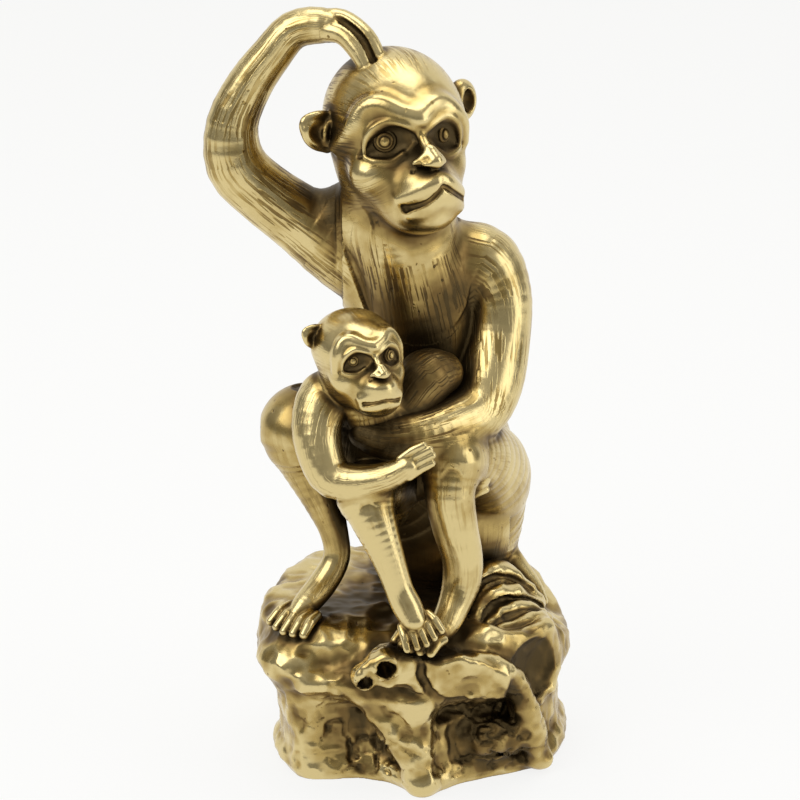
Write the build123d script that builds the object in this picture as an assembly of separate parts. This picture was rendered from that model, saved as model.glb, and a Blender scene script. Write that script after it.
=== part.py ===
from build123d import *
import math
import os

# A cast brass figurine. A monkey squats on a rock with its right arm arched over its head
# and a young one held in its lap. The sections are cast on their own and brazed together,
# the main ones on short round spigots.
# Millimetres. The origin is the middle of the rock's flat underside, on the ground, with +Z up.
# The viewer looks along +Y. Left and right are the animals' own, so their right is at -X.

# Fits
braze_gap = 0.15
overrun = 2.0
dome_shares = ((0.60, 0.80), (0.95, 0.31))
round_dome_shares = ((0.50, 0.87), (0.82, 0.57), (0.97, 0.24))

# Spigots, each from the piece that carries it into the piece that it seats in
seat_spigot = 10.0
neck_spigot = 9.0
shoulder_spigot = 7.0
hip_spigot = 9.0
foot_spigot = 3.2
young_seat_spigot = 5.0
young_neck_spigot = 4.5
spigot_depth = 5.0
small_spigot_depth = 3.0

# Rock
rock_width = 69.0
rock_depth = 64.0
rock_height = 36.0
rock_wall_at_sides = 8.0
rock_wall_at_front = 11.0
rock_roof = 9.0
rock_flute_shares = (
    1.03, 0.85, 0.86, 0.88, 0.93, 0.96, 0.985, 1.02, 1.03, 0.94, 0.92, 0.99,
    0.91, 0.93, 1.0, 1.0, 0.90, 0.86, 0.88, 0.95, 1.03, 1.10, 0.84, 0.89,
)
# Height, width, depth, sideways shift, then how strongly the flutes show.
rock_level_shares = (
    (0.00, 1.00, 1.00, 0.000, 0.9),
    (0.09, 1.02, 1.02, -0.004, 0.9),
    (0.16, 0.98, 0.98, -0.006, 1.15),
    (0.48, 0.99, 0.98, -0.014, 1.2),
    (0.62, 1.06, 1.05, -0.034, 0.5),
    (0.90, 1.03, 1.02, -0.034, 0.5),
    (1.00, 0.88, 0.88, -0.016, 0.4),
)

# Slab, lobe and coiled folds on the rock
slab_length = 31.5
slab_height = 15.0
slab_thickness = 13.0
slab_turn = 11.0
slab_lean = 12.0
slab_hole_bore = 4.6
slab_hole_depth = 5.0
slab_cut_width = 2.0
slab_cut_depth = 2.4
slab_cut_slant = 24.0
slab_place_shares = (-0.385, -1.18, 0.80)
slab_back_share = 1.05
# Along the flat face from its left tip, then up it, round the face.
slab_face_shares = (
    (-0.06, 0.20), (-0.07, 0.02), (0.01, -0.09), (0.09, -0.03), (0.25, -0.14), (0.42, -0.30),
    (0.60, -0.39), (0.80, -0.45), (1.00, -0.50), (0.93, 0.05), (0.70, 0.40), (0.57, 0.34),
    (0.42, 0.36), (0.32, 0.48), (0.15, 0.54), (0.00, 0.44),
)
# Along the face and up it, then the bore.
slab_hole_shares = ((0.15, 0.27, 1.00), (0.01, 0.06, 0.70))
slab_cut_shares = (0.44, 0.54)

lobe_width = 19.5
lobe_height = 25.0
lobe_place_shares = (0.64, -0.58, 0.66)
# Height from the middle, then girth.
lobe_shares = ((-0.26, 0.80), (-0.10, 0.96), (0.10, 1.00), (0.24, 0.90))
scoop_width = 13.0
scoop_height = 16.0
scoop_place_shares = (0.06, -0.44, 0.04)
scoop_shares = ((-0.24, 0.70), (0.00, 1.00), (0.22, 0.76))

coil_thickness = 8.0
# Each fold's places over the rock, then its girth.
coil_fold_shares = (
    (
        (0.29, -0.37, 1.04, 0.85), (0.46, -0.28, 1.10, 1.05), (0.67, -0.16, 0.98, 1.00), (0.82, 0.00, 0.87, 0.75),
    ),
    (
        (0.35, -0.53, 0.95, 0.85), (0.52, -0.47, 0.96, 0.95), (0.72, -0.28, 0.88, 0.90), (0.84, -0.09, 0.80, 0.70),
    ),
    (
        (0.28, -0.31, 1.04, 0.75), (0.39, -0.12, 1.11, 0.85), (0.55, -0.03, 1.08, 0.80), (0.71, 0.04, 0.98, 0.70),
    ),
)

# Adult trunk
trunk_length = 80.0
trunk_width = 36.0
trunk_flatness = 0.92
seat_place_shares = (0.15, 0.33)
seat_sink = 3.0
# Along, then offsets to the side, back and up, then girth.
trunk_shares = (
    (0.00, 0.000, 0.000, 0.0, 0.72),
    (0.09, 0.006, 0.010, 0.0, 0.88),
    (0.19, 0.004, 0.018, 0.0, 0.92),
    (0.34, 0.000, 0.010, 0.0, 0.94),
    (0.51, -0.030, -0.008, 0.0, 0.89),
    (0.66, -0.050, -0.020, 0.0, 0.87),
    (0.80, -0.066, -0.032, 0.0, 0.86),
    (0.91, -0.084, -0.042, 0.0, 0.80),
    (1.00, -0.100, -0.060, 0.0, 0.70),
    (1.08, -0.105, -0.085, 0.0, 0.56),
)
chest_width = 22.0
chest_flatness = 0.86
# To the side, back and up from the seat, then girth.
chest_shares = (
    (-0.06, -0.085, 0.80, 0.74),
    (-0.08, -0.130, 0.91, 1.00),
    (-0.10, -0.152, 1.02, 0.98),
    (-0.11, -0.165, 1.11, 0.72),
)

# Heads
adult_head_width = 33.0
adult_head_depth = 36.0
adult_head_height = 33.0
adult_head_turn = 28.0
adult_head_tilt = 2.0
adult_head_nod = 0.0
adult_ear_length = 11.0
adult_eye_size = 6.4
adult_head_place_shares = (-0.140, -0.170, 1.400)

young_head_width = 21.0
young_head_depth = 22.0
young_head_height = 20.5
young_head_turn = 26.0
young_head_tilt = 3.0
young_head_nod = 0.0
young_ear_length = 8.0
young_eye_size = 4.6

# Back, up, then girth, from the chin to the crown and from the throat to the lips.
skull_shares = (
    (-0.19, -0.49, 0.46), (-0.16, -0.38, 0.64), (-0.10, -0.22, 0.82), (-0.04, -0.08, 0.94), (0.00, 0.02, 0.98),
)
muzzle_shares = ((-0.10, -0.24, 0.60), (-0.25, -0.25, 0.58), (-0.36, -0.26, 0.52))
brow_thickness_share = 0.11
# From the nose outwards, for one side.
brow_shares = ((0.06, -0.50, 0.17), (0.16, -0.485, 0.22), (0.31, -0.40, 0.19), (0.40, -0.29, 0.06))
nose_thickness_share = 0.16
nose_shares = ((0.0, -0.46, 0.18), (0.0, -0.53, 0.08), (0.0, -0.60, -0.01), (0.0, -0.57, -0.06))
nose_girth_shares = (0.45, 0.60, 1.00, 0.80)
eye_place_shares = (0.19, -0.445, 0.08)
# Across the socket, how far it drops, then its girth, as shares of the eye.
socket_place_shares = (0.19, -0.485, 0.08)
socket_shares = ((-0.72, 0.02, 0.30), (-0.34, 0.04, 0.92), (0.08, 0.02, 1.10), (0.46, 0.00, 0.80), (0.76, -0.06, 0.26))
# Radius, then depth behind the pupil's tip, along the turned profile of an eye.
eye_profile_shares = (
    (0.00, 0.00), (0.14, 0.02), (0.18, 0.10), (0.24, 0.10), (0.28, 0.03), (0.36, 0.06),
    (0.40, 0.16), (0.48, 0.24), (0.50, 0.60), (0.00, 0.80),
)
mouth_thickness_share = 0.05
mouth_shares = ((-0.02, -0.620, -0.20), (0.10, -0.595, -0.27), (0.22, -0.51, -0.36))
ear_place_shares = (0.53, 0.04, 0.02)
# Height in the ear, then girth, for the cup and for its hollow.
ear_shares = ((-0.26, 0.50), (0.00, 0.72), (0.22, 0.64))
ear_scoop_shares = ((-0.16, 0.40), (0.02, 0.54), (0.18, 0.46))
ear_scoop_place_shares = (0.14, -0.24, 0.00)

# Where the spigots sit in the adult's trunk
neck_shares = (-0.105, -0.085, 1.080)
shoulder_core_shares = (-0.070, -0.040, 0.860)
shoulder_reach = 12.0
hip_pin_shares = (0.12, 0.42)
young_seat_reach = 12.0

# Adult right arm, raised over the head
raised_upper_arm_length = 31.7
raised_forearm_length = 32.1
raised_arm_thickness = 15.5
raised_hand_thickness = 8.4
raised_elbow_share = 0.82
right_shoulder_shares = (-0.285, -0.058, 1.020)
raised_upper_arm_aim = (-0.77, -0.095, 0.63)
raised_forearm_aim = (0.42, -0.03, 0.91)
raised_upper_arm_shares = (
    (-0.30, 0.04, 0.0, 0.04, 1.40),
    (0.00, 0.00, 0.0, 0.00, 1.26),
    (0.36, 0.00, 0.0, -0.01, 0.96),
    (0.70, 0.00, 0.0, -0.01, 0.88),
    (1.00, 0.00, 0.0, 0.00, 0.85),
)
raised_forearm_shares = (
    (0.00, 0.00, 0.0, 0.00, 0.96),
    (0.25, -0.10, 0.0, 0.04, 0.88),
    (0.54, -0.10, 0.0, 0.05, 0.76),
    (0.80, -0.05, 0.0, 0.03, 0.67),
    (1.00, 0.00, 0.0, 0.00, 0.61),
)
raised_hand_shares = (
    (0.00, 0.000, 0.00, 0.00, 0.93),
    (0.30, 0.030, 0.05, 0.12, 1.05),
    (0.60, 0.030, 0.06, 0.14, 0.93),
    (0.85, 0.015, 0.05, 0.08, 0.71),
    (1.00, 0.000, 0.00, 0.00, 0.57),
)
crown_place_shares = (-0.13, -0.02, 0.46)

# Adult left arm, round the young one
left_upper_arm_length = 33.0
left_arm_thickness = 15.0
left_shoulder_shares = (0.090, -0.070, 0.990)
left_upper_arm_aim = (0.006, -0.457, -0.89)
left_upper_arm_shares = (
    (-0.16, -0.16, 0.05, -0.04, 1.30),
    (0.00, 0.00, 0.00, 0.00, 1.30),
    (0.20, 0.134, 0.03, 0.00, 1.00),
    (0.50, 0.130, 0.08, -0.02, 0.96),
    (0.85, 0.060, 0.05, -0.01, 0.96),
    (1.00, 0.000, 0.00, 0.00, 0.91),
)
left_forearm_shares = (
    (0.00, 0.00, 0.000, 0.00, 0.88),
    (0.33, 0.04, -0.045, -0.04, 0.80),
    (0.65, 0.06, -0.065, -0.05, 0.64),
    (0.88, 0.04, -0.030, -0.03, 0.53),
    (1.00, 0.00, 0.000, 0.00, 0.45),
)
left_hand_shares = (-0.08, -0.56, 0.79)

# Adult legs
thigh_thickness = 27.0
right_thigh_length = 42.8
right_knee_aim = (-0.705, -0.42, 0.57)
right_hip_shares = (-0.018, -0.008, 0.260)
right_thigh_shares = (
    (0.00, 0.00, 0.0, 0.00, 1.02),
    (0.30, 0.00, 0.0, 0.02, 0.92),
    (0.60, 0.00, 0.0, 0.03, 0.80),
    (1.00, 0.00, 0.0, 0.00, 0.70),
)
left_thigh_length = 41.2
left_knee_aim = (-0.150, -0.765, 0.626)
left_hip_shares = (0.085, 0.018, 0.190)
left_thigh_shares = (
    (0.00, 0.00, 0.00, 0.00, 0.82),
    (0.30, 0.09, 0.02, 0.13, 0.86),
    (0.62, 0.10, 0.04, 0.13, 0.70),
    (1.00, 0.00, 0.00, 0.00, 0.50),
)
shin_thickness = 12.6
right_shin_thickness = 17.0
shin_shares = (
    (0.00, 0.00, 0.00, 0.0, 0.98),
    (0.25, -0.03, -0.08, 0.0, 0.82),
    (0.53, 0.00, -0.08, 0.0, 0.74),
    (0.83, 0.01, -0.04, 0.0, 0.64),
    (1.00, 0.00, 0.00, 0.0, 0.58),
)
right_shin_shares = (
    (0.00, 0.00, 0.0, 0.00, 1.00),
    (0.28, 0.00, 0.0, 0.00, 0.66),
    (0.54, 0.00, 0.0, 0.00, 0.50),
    (0.80, 0.00, 0.0, 0.00, 0.42),
    (1.00, 0.00, 0.0, 0.00, 0.40),
)

# Adult feet
foot_thickness = 7.2
foot_length = 11.5
toe_length = 4.2
toe_thickness = 2.2
foot_pin_share = 0.55
right_ankle_shares = (-0.548, -0.31)
right_ankle_rise = 11.5
right_foot_turn = -45.0
left_ankle_shares = (0.290, -0.656)
left_ankle_rise = 12.0
left_foot_turn = -44.0
foot_shares = (
    (0.00, 0.0, 0.00, 0.00, 0.92),
    (0.35, 0.0, 0.00, 0.04, 0.96),
    (0.72, 0.0, 0.00, 0.03, 1.00),
    (1.00, 0.0, 0.00, 0.00, 0.84),
)
toe_spread_shares = (-0.36, -0.18, 0.0, 0.18, 0.36)
toe_girth_shares = ((-0.25, 0.0, 0.0, 0.00, 1.00), (0.45, 0.0, 0.0, 0.05, 1.00), (1.0, 0.0, 0.0, -0.06, 0.80))

# Tail
tail_length = 23.0
tail_thickness = 8.0
tail_aim = (0.60, -0.62, -0.48)
tail_place_shares = (0.120, 0.080, 0.175)
tail_shares = (
    (0.00, 0.0, 0.0, 0.00, 1.00),
    (0.25, 0.0, 0.0, 0.02, 0.74),
    (0.55, 0.0, 0.0, 0.02, 0.52),
    (1.00, 0.0, 0.0, 0.00, 0.36),
)

# Young one
young_trunk_length = 25.0
young_trunk_width = 19.0
young_trunk_flatness = 0.95
young_seat_shares = (0.45, -0.55, -0.10)
young_neck_shares = (-0.10, -0.38, 1.14)
young_trunk_shares = (
    (0.00, 0.00, 0.00, 0.0, 0.88),
    (0.20, 0.00, -0.04, 0.0, 0.95),
    (0.55, -0.04, -0.16, 0.0, 1.00),
    (0.90, -0.02, -0.24, 0.0, 0.84),
    (1.12, -0.08, -0.36, 0.0, 0.58),
)
young_head_place_shares = (-0.20, -0.585, 0.630)
young_arm_thickness = 9.0
young_upper_arm_length = 19.0
young_right_shoulder_shares = (-0.45, -0.44, 1.16)
young_right_elbow_aim = (0.07, -0.41, -0.91)
young_upper_arm_shares = (
    (0.00, 0.00, 0.0, 0.00, 1.10),
    (0.37, -0.135, 0.0, 0.00, 0.95),
    (0.73, -0.09, 0.0, 0.00, 0.91),
    (1.00, 0.00, 0.0, 0.00, 0.87),
)
young_forearm_length = 19.0
young_forearm_aim = (0.905, -0.316, 0.29)
young_forearm_shares = (
    (0.00, 0.00, 0.00, 0.00, 0.82),
    (0.33, 0.04, -0.05, -0.04, 0.69),
    (0.68, 0.05, -0.05, -0.04, 0.64),
    (1.00, 0.00, 0.00, 0.00, 0.58),
)
young_finger_length = 4.6
young_finger_thickness = 1.5
young_finger_aim = (0.70, -0.05, 0.60)
young_finger_spread_shares = (-0.36, 0.0, 0.36)
young_left_arm_thickness = 12.0
young_left_shoulder_shares = (0.31, -0.16, 1.00)
young_left_arm_length = 8.0
young_left_arm_aim = (0.68, 0.44, 0.57)
young_left_arm_shares = (
    (-0.30, 0.0, 0.0, 0.00, 0.92),
    (0.20, 0.0, 0.0, 0.08, 1.00),
    (0.70, 0.0, 0.0, 0.08, 1.02),
    (1.10, 0.0, 0.0, 0.00, 0.78),
)
young_thigh_thickness = 12.0
young_right_hip_shares = (0.05, -0.20, 0.31)
young_right_knee_aim = (-0.26, -0.96, 0.04)
young_thigh_length = 13.5
young_thigh_shares = (
    (0.00, 0.0, 0.0, 0.00, 1.00),
    (0.55, 0.0, 0.0, 0.02, 0.96),
    (1.00, 0.0, 0.0, 0.00, 0.84),
)
young_shin_thickness = 9.6
young_shin_shares = (
    (0.00, 0.00, 0.00, 0.0, 1.00),
    (0.30, 0.00, -0.03, 0.0, 0.84),
    (0.62, 0.00, -0.02, 0.0, 0.70),
    (1.00, 0.00, 0.00, 0.0, 0.66),
)
young_foot_thickness = 6.6
young_foot_length = 5.0
young_ankle_drop = 8.0
young_ankle_shares = (-0.66, -0.55, 1.70)
young_foot_turn = 30.0
young_toe_length = 4.2
young_toe_thickness = 1.8
young_left_leg_thickness = 7.6
young_left_leg_length = 22.0
young_left_leg_aim = (0.98, -0.07, -0.18)
young_left_hip_shares = (0.14, -0.04, 0.22)
young_left_leg_shares = (
    (0.00, 0.0, 0.00, 0.00, 1.10),
    (0.43, 0.0, 0.00, -0.06, 0.94),
    (0.82, 0.0, 0.03, -0.04, 0.80),
    (1.00, 0.0, 0.00, 0.00, 0.66),
)


def moved(place, shares, size):
    """A place moved by shares of a size."""
    return place + Vector(*shares) * size


def aimed(place, aim, length):
    """The far end of a straight run from a place."""
    return place + Vector(*aim).normalized() * length


def domed(places, girths, ends, dome):
    """Stations with a rounded end added at the ends named: first, last or both."""
    for end in ("first", "last"):
        places, girths = places[::-1], girths[::-1]
        if end not in ends:
            continue
        along = (places[-1] - places[-2]).normalized()
        tip, girth = places[-1], girths[-1]
        places = places + [tip + along * (girth / 2 * run) for run, _ in dome]
        girths = girths + [girth * share for _, share in dome]
    return places, girths


def body_of_stations(
    places, girths, side=(0, 1, 0), ends=("first", "last"), flatness=1, ruled=False, dome=dome_shares
):
    """A solid through round or oval sections, one at each station."""
    places, girths = domed(list(places), list(girths), ends, dome)
    rings = []
    for index, place in enumerate(places):
        before = places[max(index - 1, 0)]
        after = places[min(index + 1, len(places) - 1)]
        along = (after - before).normalized()
        across = (Vector(*side) - along * Vector(*side).dot(along)).normalized()
        plane = Plane(origin=place, x_dir=across, z_dir=along)
        if flatness == 1:
            rings.append(Wire.make_circle(girths[index] / 2, plane))
        else:
            rings.append(Wire.make_ellipse(girths[index] / 2, girths[index] / 2 * flatness, plane))
    return Solid.make_loft(rings, ruled)


def limb(start, end, thickness, shares, side=(0, 1, 0), **options):
    """A limb between two places, bowed and swollen by shares of its run and its thickness."""
    run = end - start
    places = [moved(start + run * along, (x, y, z), run.length) for along, x, y, z, _ in shares]
    girths = [thickness * share for *_, share in shares]
    return body_of_stations(places, girths, side, **options)


def upright(place, length, width, shares, frame=Plane.XY):
    """A rounded body along a frame's Z through a place, by shares of its length and its width."""
    up = frame.z_dir * length
    places = [place + up * share for share, _ in shares]
    side = frame.x_dir
    return body_of_stations(places, [width * share for _, share in shares], side=(side.X, side.Y, side.Z))


def largest(shape):
    """The main solid of a cut, without its offcuts."""
    return shape.solids().sort_by(SortBy.VOLUME)[-1]


def trimmed(piece, *neighbours):
    """A piece without the room that its neighbours fill."""
    for neighbour in neighbours:
        piece = largest(piece - neighbour)
    return piece


def joined(piece, *additions):
    """A piece with what is cast in one with it."""
    for addition in additions:
        piece = largest(piece + addition)
    return piece


def pin(start, end, diameter, extra=0):
    """A straight round pin between two places, longer at both ends by extra."""
    along = (end - start).normalized()
    plane = Plane(origin=start - along * extra, z_dir=along)
    return plane * Cylinder(
        diameter / 2, (end - start).length + extra * 2, align=(Align.CENTER, Align.CENTER, Align.MIN)
    )


def rock_outline(level):
    """The fluted outline of the rock at one level."""
    height, width, depth, shift, strength = level
    points = []
    for index, flute in enumerate(rock_flute_shares):
        angle = math.radians(index * 360 / len(rock_flute_shares))
        reach = 1 + (flute - 1) * strength
        points.append(Vector(
            rock_width / 2 * width * reach * math.sin(angle) + rock_width * shift,
            -rock_depth / 2 * depth * reach * math.cos(angle),
            rock_height * height,
        ))
    return Wire.make_polygon(points, close=True)


def rock_base():
    """The hollow rock, open underneath."""
    rock = Solid.make_loft([rock_outline(level) for level in rock_level_shares], ruled=True)
    roof = rock_height - rock_roof
    mouth_width = rock_width - rock_wall_at_sides * 2
    mouth_depth = rock_depth - rock_wall_at_front * 2
    mouth = Wire.make_ellipse(mouth_width / 2, mouth_depth / 2, Plane.XY.offset(-overrun))
    ceiling = Wire.make_ellipse(
        (mouth_width - rock_wall_at_sides) / 2, (mouth_depth - rock_wall_at_sides) / 2,
        Plane.XY.offset(roof),
    )
    return largest(rock - Solid.make_loft([mouth, ceiling]))


def slab_frame():
    """The plane of the slab's flat face, from its left tip, with Z out of the face."""
    x, y, z = slab_place_shares
    tip = Pos(rock_width / 2 * x, rock_depth / 2 * y, rock_height * z)
    return Plane(tip * Rot(Z=slab_turn) * Rot(X=90 + slab_lean))


def slab_outline(depth, spread):
    """The slab's outline at one depth behind its face, spread about the face's middle."""
    points = [
        Vector(slab_length * (0.5 + (x - 0.5) * spread), slab_height * y * spread, -depth) for x, y in slab_face_shares
    ]
    return Wire.make_polygon([slab_frame().from_local_coords(point) for point in points], close=True)


def rock_slab(rock):
    """The wedge that overhangs the front of the rock, with its drilled holes and cuts."""
    frame = slab_frame()
    slab = Solid.make_loft([slab_outline(0, 1), slab_outline(slab_thickness, slab_back_share)], ruled=True)
    for x, y, bore in slab_hole_shares:
        mouth = Vector(slab_length * x, slab_height * y, overrun)
        floor = Vector(slab_length * x, slab_height * y, -slab_hole_depth)
        ends = [frame.from_local_coords(place) for place in (mouth, floor)]
        slab = trimmed(slab, pin(*ends, slab_hole_bore * bore))
    for share in slab_cut_shares:
        groove = Pos(slab_length * share, 0, 0) * Rot(Z=slab_cut_slant)
        groove = groove * Box(slab_cut_width, slab_height * 2, slab_cut_depth * 2)
        slab = trimmed(slab, frame.from_local_coords(groove))
    return trimmed(slab, rock)


def rock_lobe(rock, slab):
    """The boss on the right of the rock, with its scooped hollow."""
    x, y, z = lobe_place_shares
    middle = Vector(rock_width / 2 * x, rock_depth / 2 * y, rock_height * z)
    lobe = upright(middle, lobe_height, lobe_width, lobe_shares)
    scoop = upright(moved(middle, scoop_place_shares, lobe_width), scoop_height, scoop_width, scoop_shares)
    return trimmed(lobe, scoop, rock, slab)


def rock_coil(rock, slab, lobe):
    """The folds that curl round the right shoulder of the rock."""
    folds = []
    for shares in coil_fold_shares:
        places = [Vector(rock_width / 2 * x, rock_depth / 2 * y, rock_height * z) for x, y, z, _ in shares]
        folds.append(body_of_stations(places, [coil_thickness * girth for *_, girth in shares], side=(0, 0, 1)))
    return trimmed(joined(*folds), rock, slab, lobe)


def seat():
    """The middle of the adult's seat on the rock."""
    x, y = seat_place_shares
    return Vector(rock_width / 2 * x, rock_depth / 2 * y, rock_height - seat_sink)


def on_trunk(shares):
    """A place by the adult's trunk, as shares of its length from the seat."""
    return moved(seat(), shares, trunk_length)


def adult_trunk(rock, coil):
    """The adult's trunk, from the seat to the neck, with the full chest under its chin."""
    top = seat() + Vector(0, 0, trunk_length)
    trunk = limb(
        seat(), top, trunk_width, trunk_shares, side=(1, 0, 0), ends=("last",), flatness=trunk_flatness
    )
    places = [on_trunk((x, y, z)) for x, y, z, _ in chest_shares]
    girths = [chest_width * girth for *_, girth in chest_shares]
    chest = body_of_stations(places, girths, side=(1, 0, 0), flatness=chest_flatness)
    return trimmed(joined(trunk, chest), rock, coil)


def head_frame(middle, turn, tilt, nod):
    """A head's frame: -Y looks forward, and the crown tilts to the animal's right."""
    return Plane(Pos(middle.X, middle.Y, middle.Z) * Rot(Z=turn) * Rot(Y=-tilt) * Rot(X=nod))


def adult_head_frame():
    """The frame of the adult's head, over the trunk."""
    return head_frame(on_trunk(adult_head_place_shares), adult_head_turn, adult_head_tilt, adult_head_nod)


def in_head(frame, shares, width, depth, height):
    """A place in a head, as shares of its width, depth and height."""
    x, y, z = shares
    return frame.from_local_coords(Vector(width * x, depth * y, height * z))


def in_unit_head(shares):
    """A smooth solid on a head's middle plane, with the head's own spans as units."""
    places = [Vector(0, y, z) for y, z, _ in shares]
    return body_of_stations(places, [girth for *_, girth in shares], side=(1, 0, 0), dome=round_dome_shares)


def eye(frame, place, eye_size):
    """A turned eye, with a pupil and a ring round it, looking forward."""
    outline = [Vector(radius * eye_size, depth * eye_size, 0) for radius, depth in eye_profile_shares]
    profile = make_face(Polyline(*outline, close=True))
    return frame * (Pos(*place) * revolve(profile, Axis.Y))


def head(frame, width, depth, height, eye_size):
    """A monkey's head: skull, muzzle, brow, nose, ringed eyes and mouth."""
    size = (width, depth, height)

    def ridge(places, girths):
        return body_of_stations([in_head(frame, place, *size) for place in places], girths, ruled=True)

    def mirrored(shares, girths):
        return [ridge([(x * mirror, y, z) for x, y, z in shares], girths) for mirror in (-1, 1)]

    def sockets():
        x, y, z = socket_place_shares
        girths = [eye_size * girth for *_, girth in socket_shares]
        for mirror in (-1, 1):
            middle = Vector(width * x * mirror, depth * y, height * z)
            steps = [Vector(across * mirror, 0, drop) * eye_size for across, drop, _ in socket_shares]
            yield body_of_stations([frame.from_local_coords(middle + step) for step in steps], girths, ruled=True)

    def eyes():
        x, y, z = eye_place_shares
        for mirror in (-1, 1):
            yield eye(frame, (width * x * mirror, depth * y, height * z), eye_size)

    skull = frame * scale(in_unit_head(skull_shares), by=size)
    muzzle = frame * scale(in_unit_head(muzzle_shares), by=size)
    brows = mirrored(brow_shares, [width * brow_thickness_share] * len(brow_shares))
    nose = ridge(nose_shares, [width * nose_thickness_share * share for share in nose_girth_shares])
    grooves = mirrored(mouth_shares, [width * mouth_thickness_share] * len(mouth_shares))
    solid = largest(joined(skull, muzzle) + [*brows, nose])
    solid = largest(solid - list(sockets()))
    solid = largest(solid + list(eyes()))
    return trimmed(solid, *grooves)


def ear(frame, width, depth, height, ear_length, mirror, *neighbours):
    """A cupped ear at the side of a head, opening forward."""
    x, y, z = ear_place_shares
    place = Vector(width * x * mirror, depth * y, height * z)
    x, y, z = ear_scoop_place_shares
    hollow = place + Vector(ear_length * x * mirror, ear_length * y, ear_length * z)
    cup = upright(frame.from_local_coords(place), ear_length, ear_length, ear_shares, frame)
    scoop = upright(frame.from_local_coords(hollow), ear_length, ear_length, ear_scoop_shares, frame)
    return trimmed(cup, scoop, *neighbours)


def right_shoulder():
    return on_trunk(right_shoulder_shares)


def right_elbow():
    return aimed(right_shoulder(), raised_upper_arm_aim, raised_upper_arm_length)


def right_wrist():
    return aimed(right_elbow(), raised_forearm_aim, raised_forearm_length)


def left_shoulder():
    return on_trunk(left_shoulder_shares)


def left_elbow():
    return aimed(left_shoulder(), left_upper_arm_aim, left_upper_arm_length)


def right_hip():
    return on_trunk(right_hip_shares)


def left_hip():
    return on_trunk(left_hip_shares)


def right_knee():
    return aimed(right_hip(), right_knee_aim, right_thigh_length)


def left_knee():
    return aimed(left_hip(), left_knee_aim, left_thigh_length)


def ankle(shares, rise):
    """An ankle above the top of the rock."""
    x, y = shares
    return Vector(rock_width / 2 * x, rock_depth / 2 * y, rock_height + rise)


def heading_of(turn):
    """The level direction that something faces, turned in degrees from the viewer's side."""
    return Vector(math.sin(math.radians(turn)), -math.cos(math.radians(turn)), 0)


def foot(ankle_place, turn, length, drop, thickness, toes, toe_thickness):
    """A foot with its toes, from the ankle down to the ground that it grips."""
    forward = heading_of(turn)
    ball_of_foot = ankle_place + forward * length - Vector(0, 0, drop - thickness / 2)
    sole = limb(ankle_place, ball_of_foot, thickness, foot_shares, side=(0, 0, 1))
    across = Vector(-forward.Y, forward.X, 0)
    parts = []
    for spread in toe_spread_shares:
        root = ball_of_foot + across * (thickness * spread * 2) - Vector(0, 0, thickness / 5)
        way = (forward + across * spread).normalized()
        tip = root + way * (toes + thickness / 4) - Vector(0, 0, thickness / 4)
        parts.append(limb(root, tip, toe_thickness, toe_girth_shares, side=(0, 0, 1), ruled=True))
    return joined(sole, *parts)


def young_seat():
    """Where the young one sits, on the adult's right thigh."""
    along, fore, up = young_seat_shares
    run = right_knee() - right_hip()
    return right_hip() + run * along + Vector(0, thigh_thickness * fore, thigh_thickness * up)


def on_young(shares):
    """A place by the young one's trunk, as shares of its length from its seat."""
    return moved(young_seat(), shares, young_trunk_length)


def young_ankle():
    """The young one's right ankle, over the toes of the adult's left foot."""
    toes = ankle(left_ankle_shares, 0) + heading_of(left_foot_turn) * foot_length
    return moved(toes, young_ankle_shares, foot_thickness)


def young_head_frame():
    """The frame of the young one's head."""
    middle = moved(on_young((0, 0, 1)), young_head_place_shares, young_head_height)
    return head_frame(middle, young_head_turn, young_head_tilt, young_head_nod)


def spigoted(parts, carrier, seats, start, end, diameter):
    """Casts a round spigot on one piece and bores the pieces that it is brazed into."""
    parts[carrier] = joined(parts[carrier], pin(start, end, diameter))
    bore = pin(start, end, diameter + braze_gap * 2, braze_gap)
    for name in seats:
        parts[name] = trimmed(parts[name], bore)


def ground_parts():
    """The rock and what stands out of it."""
    rock = rock_base()
    slab = rock_slab(rock)
    lobe = rock_lobe(rock, slab)
    coil = rock_coil(rock, slab, lobe)
    return {"rock_base": rock, "rock_slab": slab, "rock_lobe": lobe, "rock_coil": coil}


def adult_upper_parts(parts):
    """The adult's head, ears, raised arm and left upper arm, on the trunk in parts."""
    trunk = parts["adult_trunk"]
    frame = adult_head_frame()
    size = (adult_head_width, adult_head_depth, adult_head_height)
    skull = trimmed(head(frame, *size, adult_eye_size), trunk)
    upper_arm = limb(right_shoulder(), right_elbow(), raised_arm_thickness, raised_upper_arm_shares)
    upper_arm = trimmed(upper_arm, trunk, skull)
    elbow_girth = raised_arm_thickness * raised_elbow_share
    forearm = limb(right_elbow(), right_wrist(), elbow_girth, raised_forearm_shares)
    forearm = trimmed(forearm, upper_arm)
    crown = in_head(frame, crown_place_shares, *size)
    hand = trimmed(limb(right_wrist(), crown, raised_hand_thickness, raised_hand_shares), forearm, skull)
    left_upper = limb(left_shoulder(), left_elbow(), left_arm_thickness, left_upper_arm_shares)
    return {
        "adult_head": skull,
        "adult_right_ear": ear(frame, *size, adult_ear_length, -1, skull),
        "adult_left_ear": ear(frame, *size, adult_ear_length, 1, skull),
        "adult_right_upper_arm": upper_arm,
        "adult_right_forearm": forearm,
        "adult_right_hand": hand,
        "adult_left_upper_arm": trimmed(left_upper, trunk, skull),
    }


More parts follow.
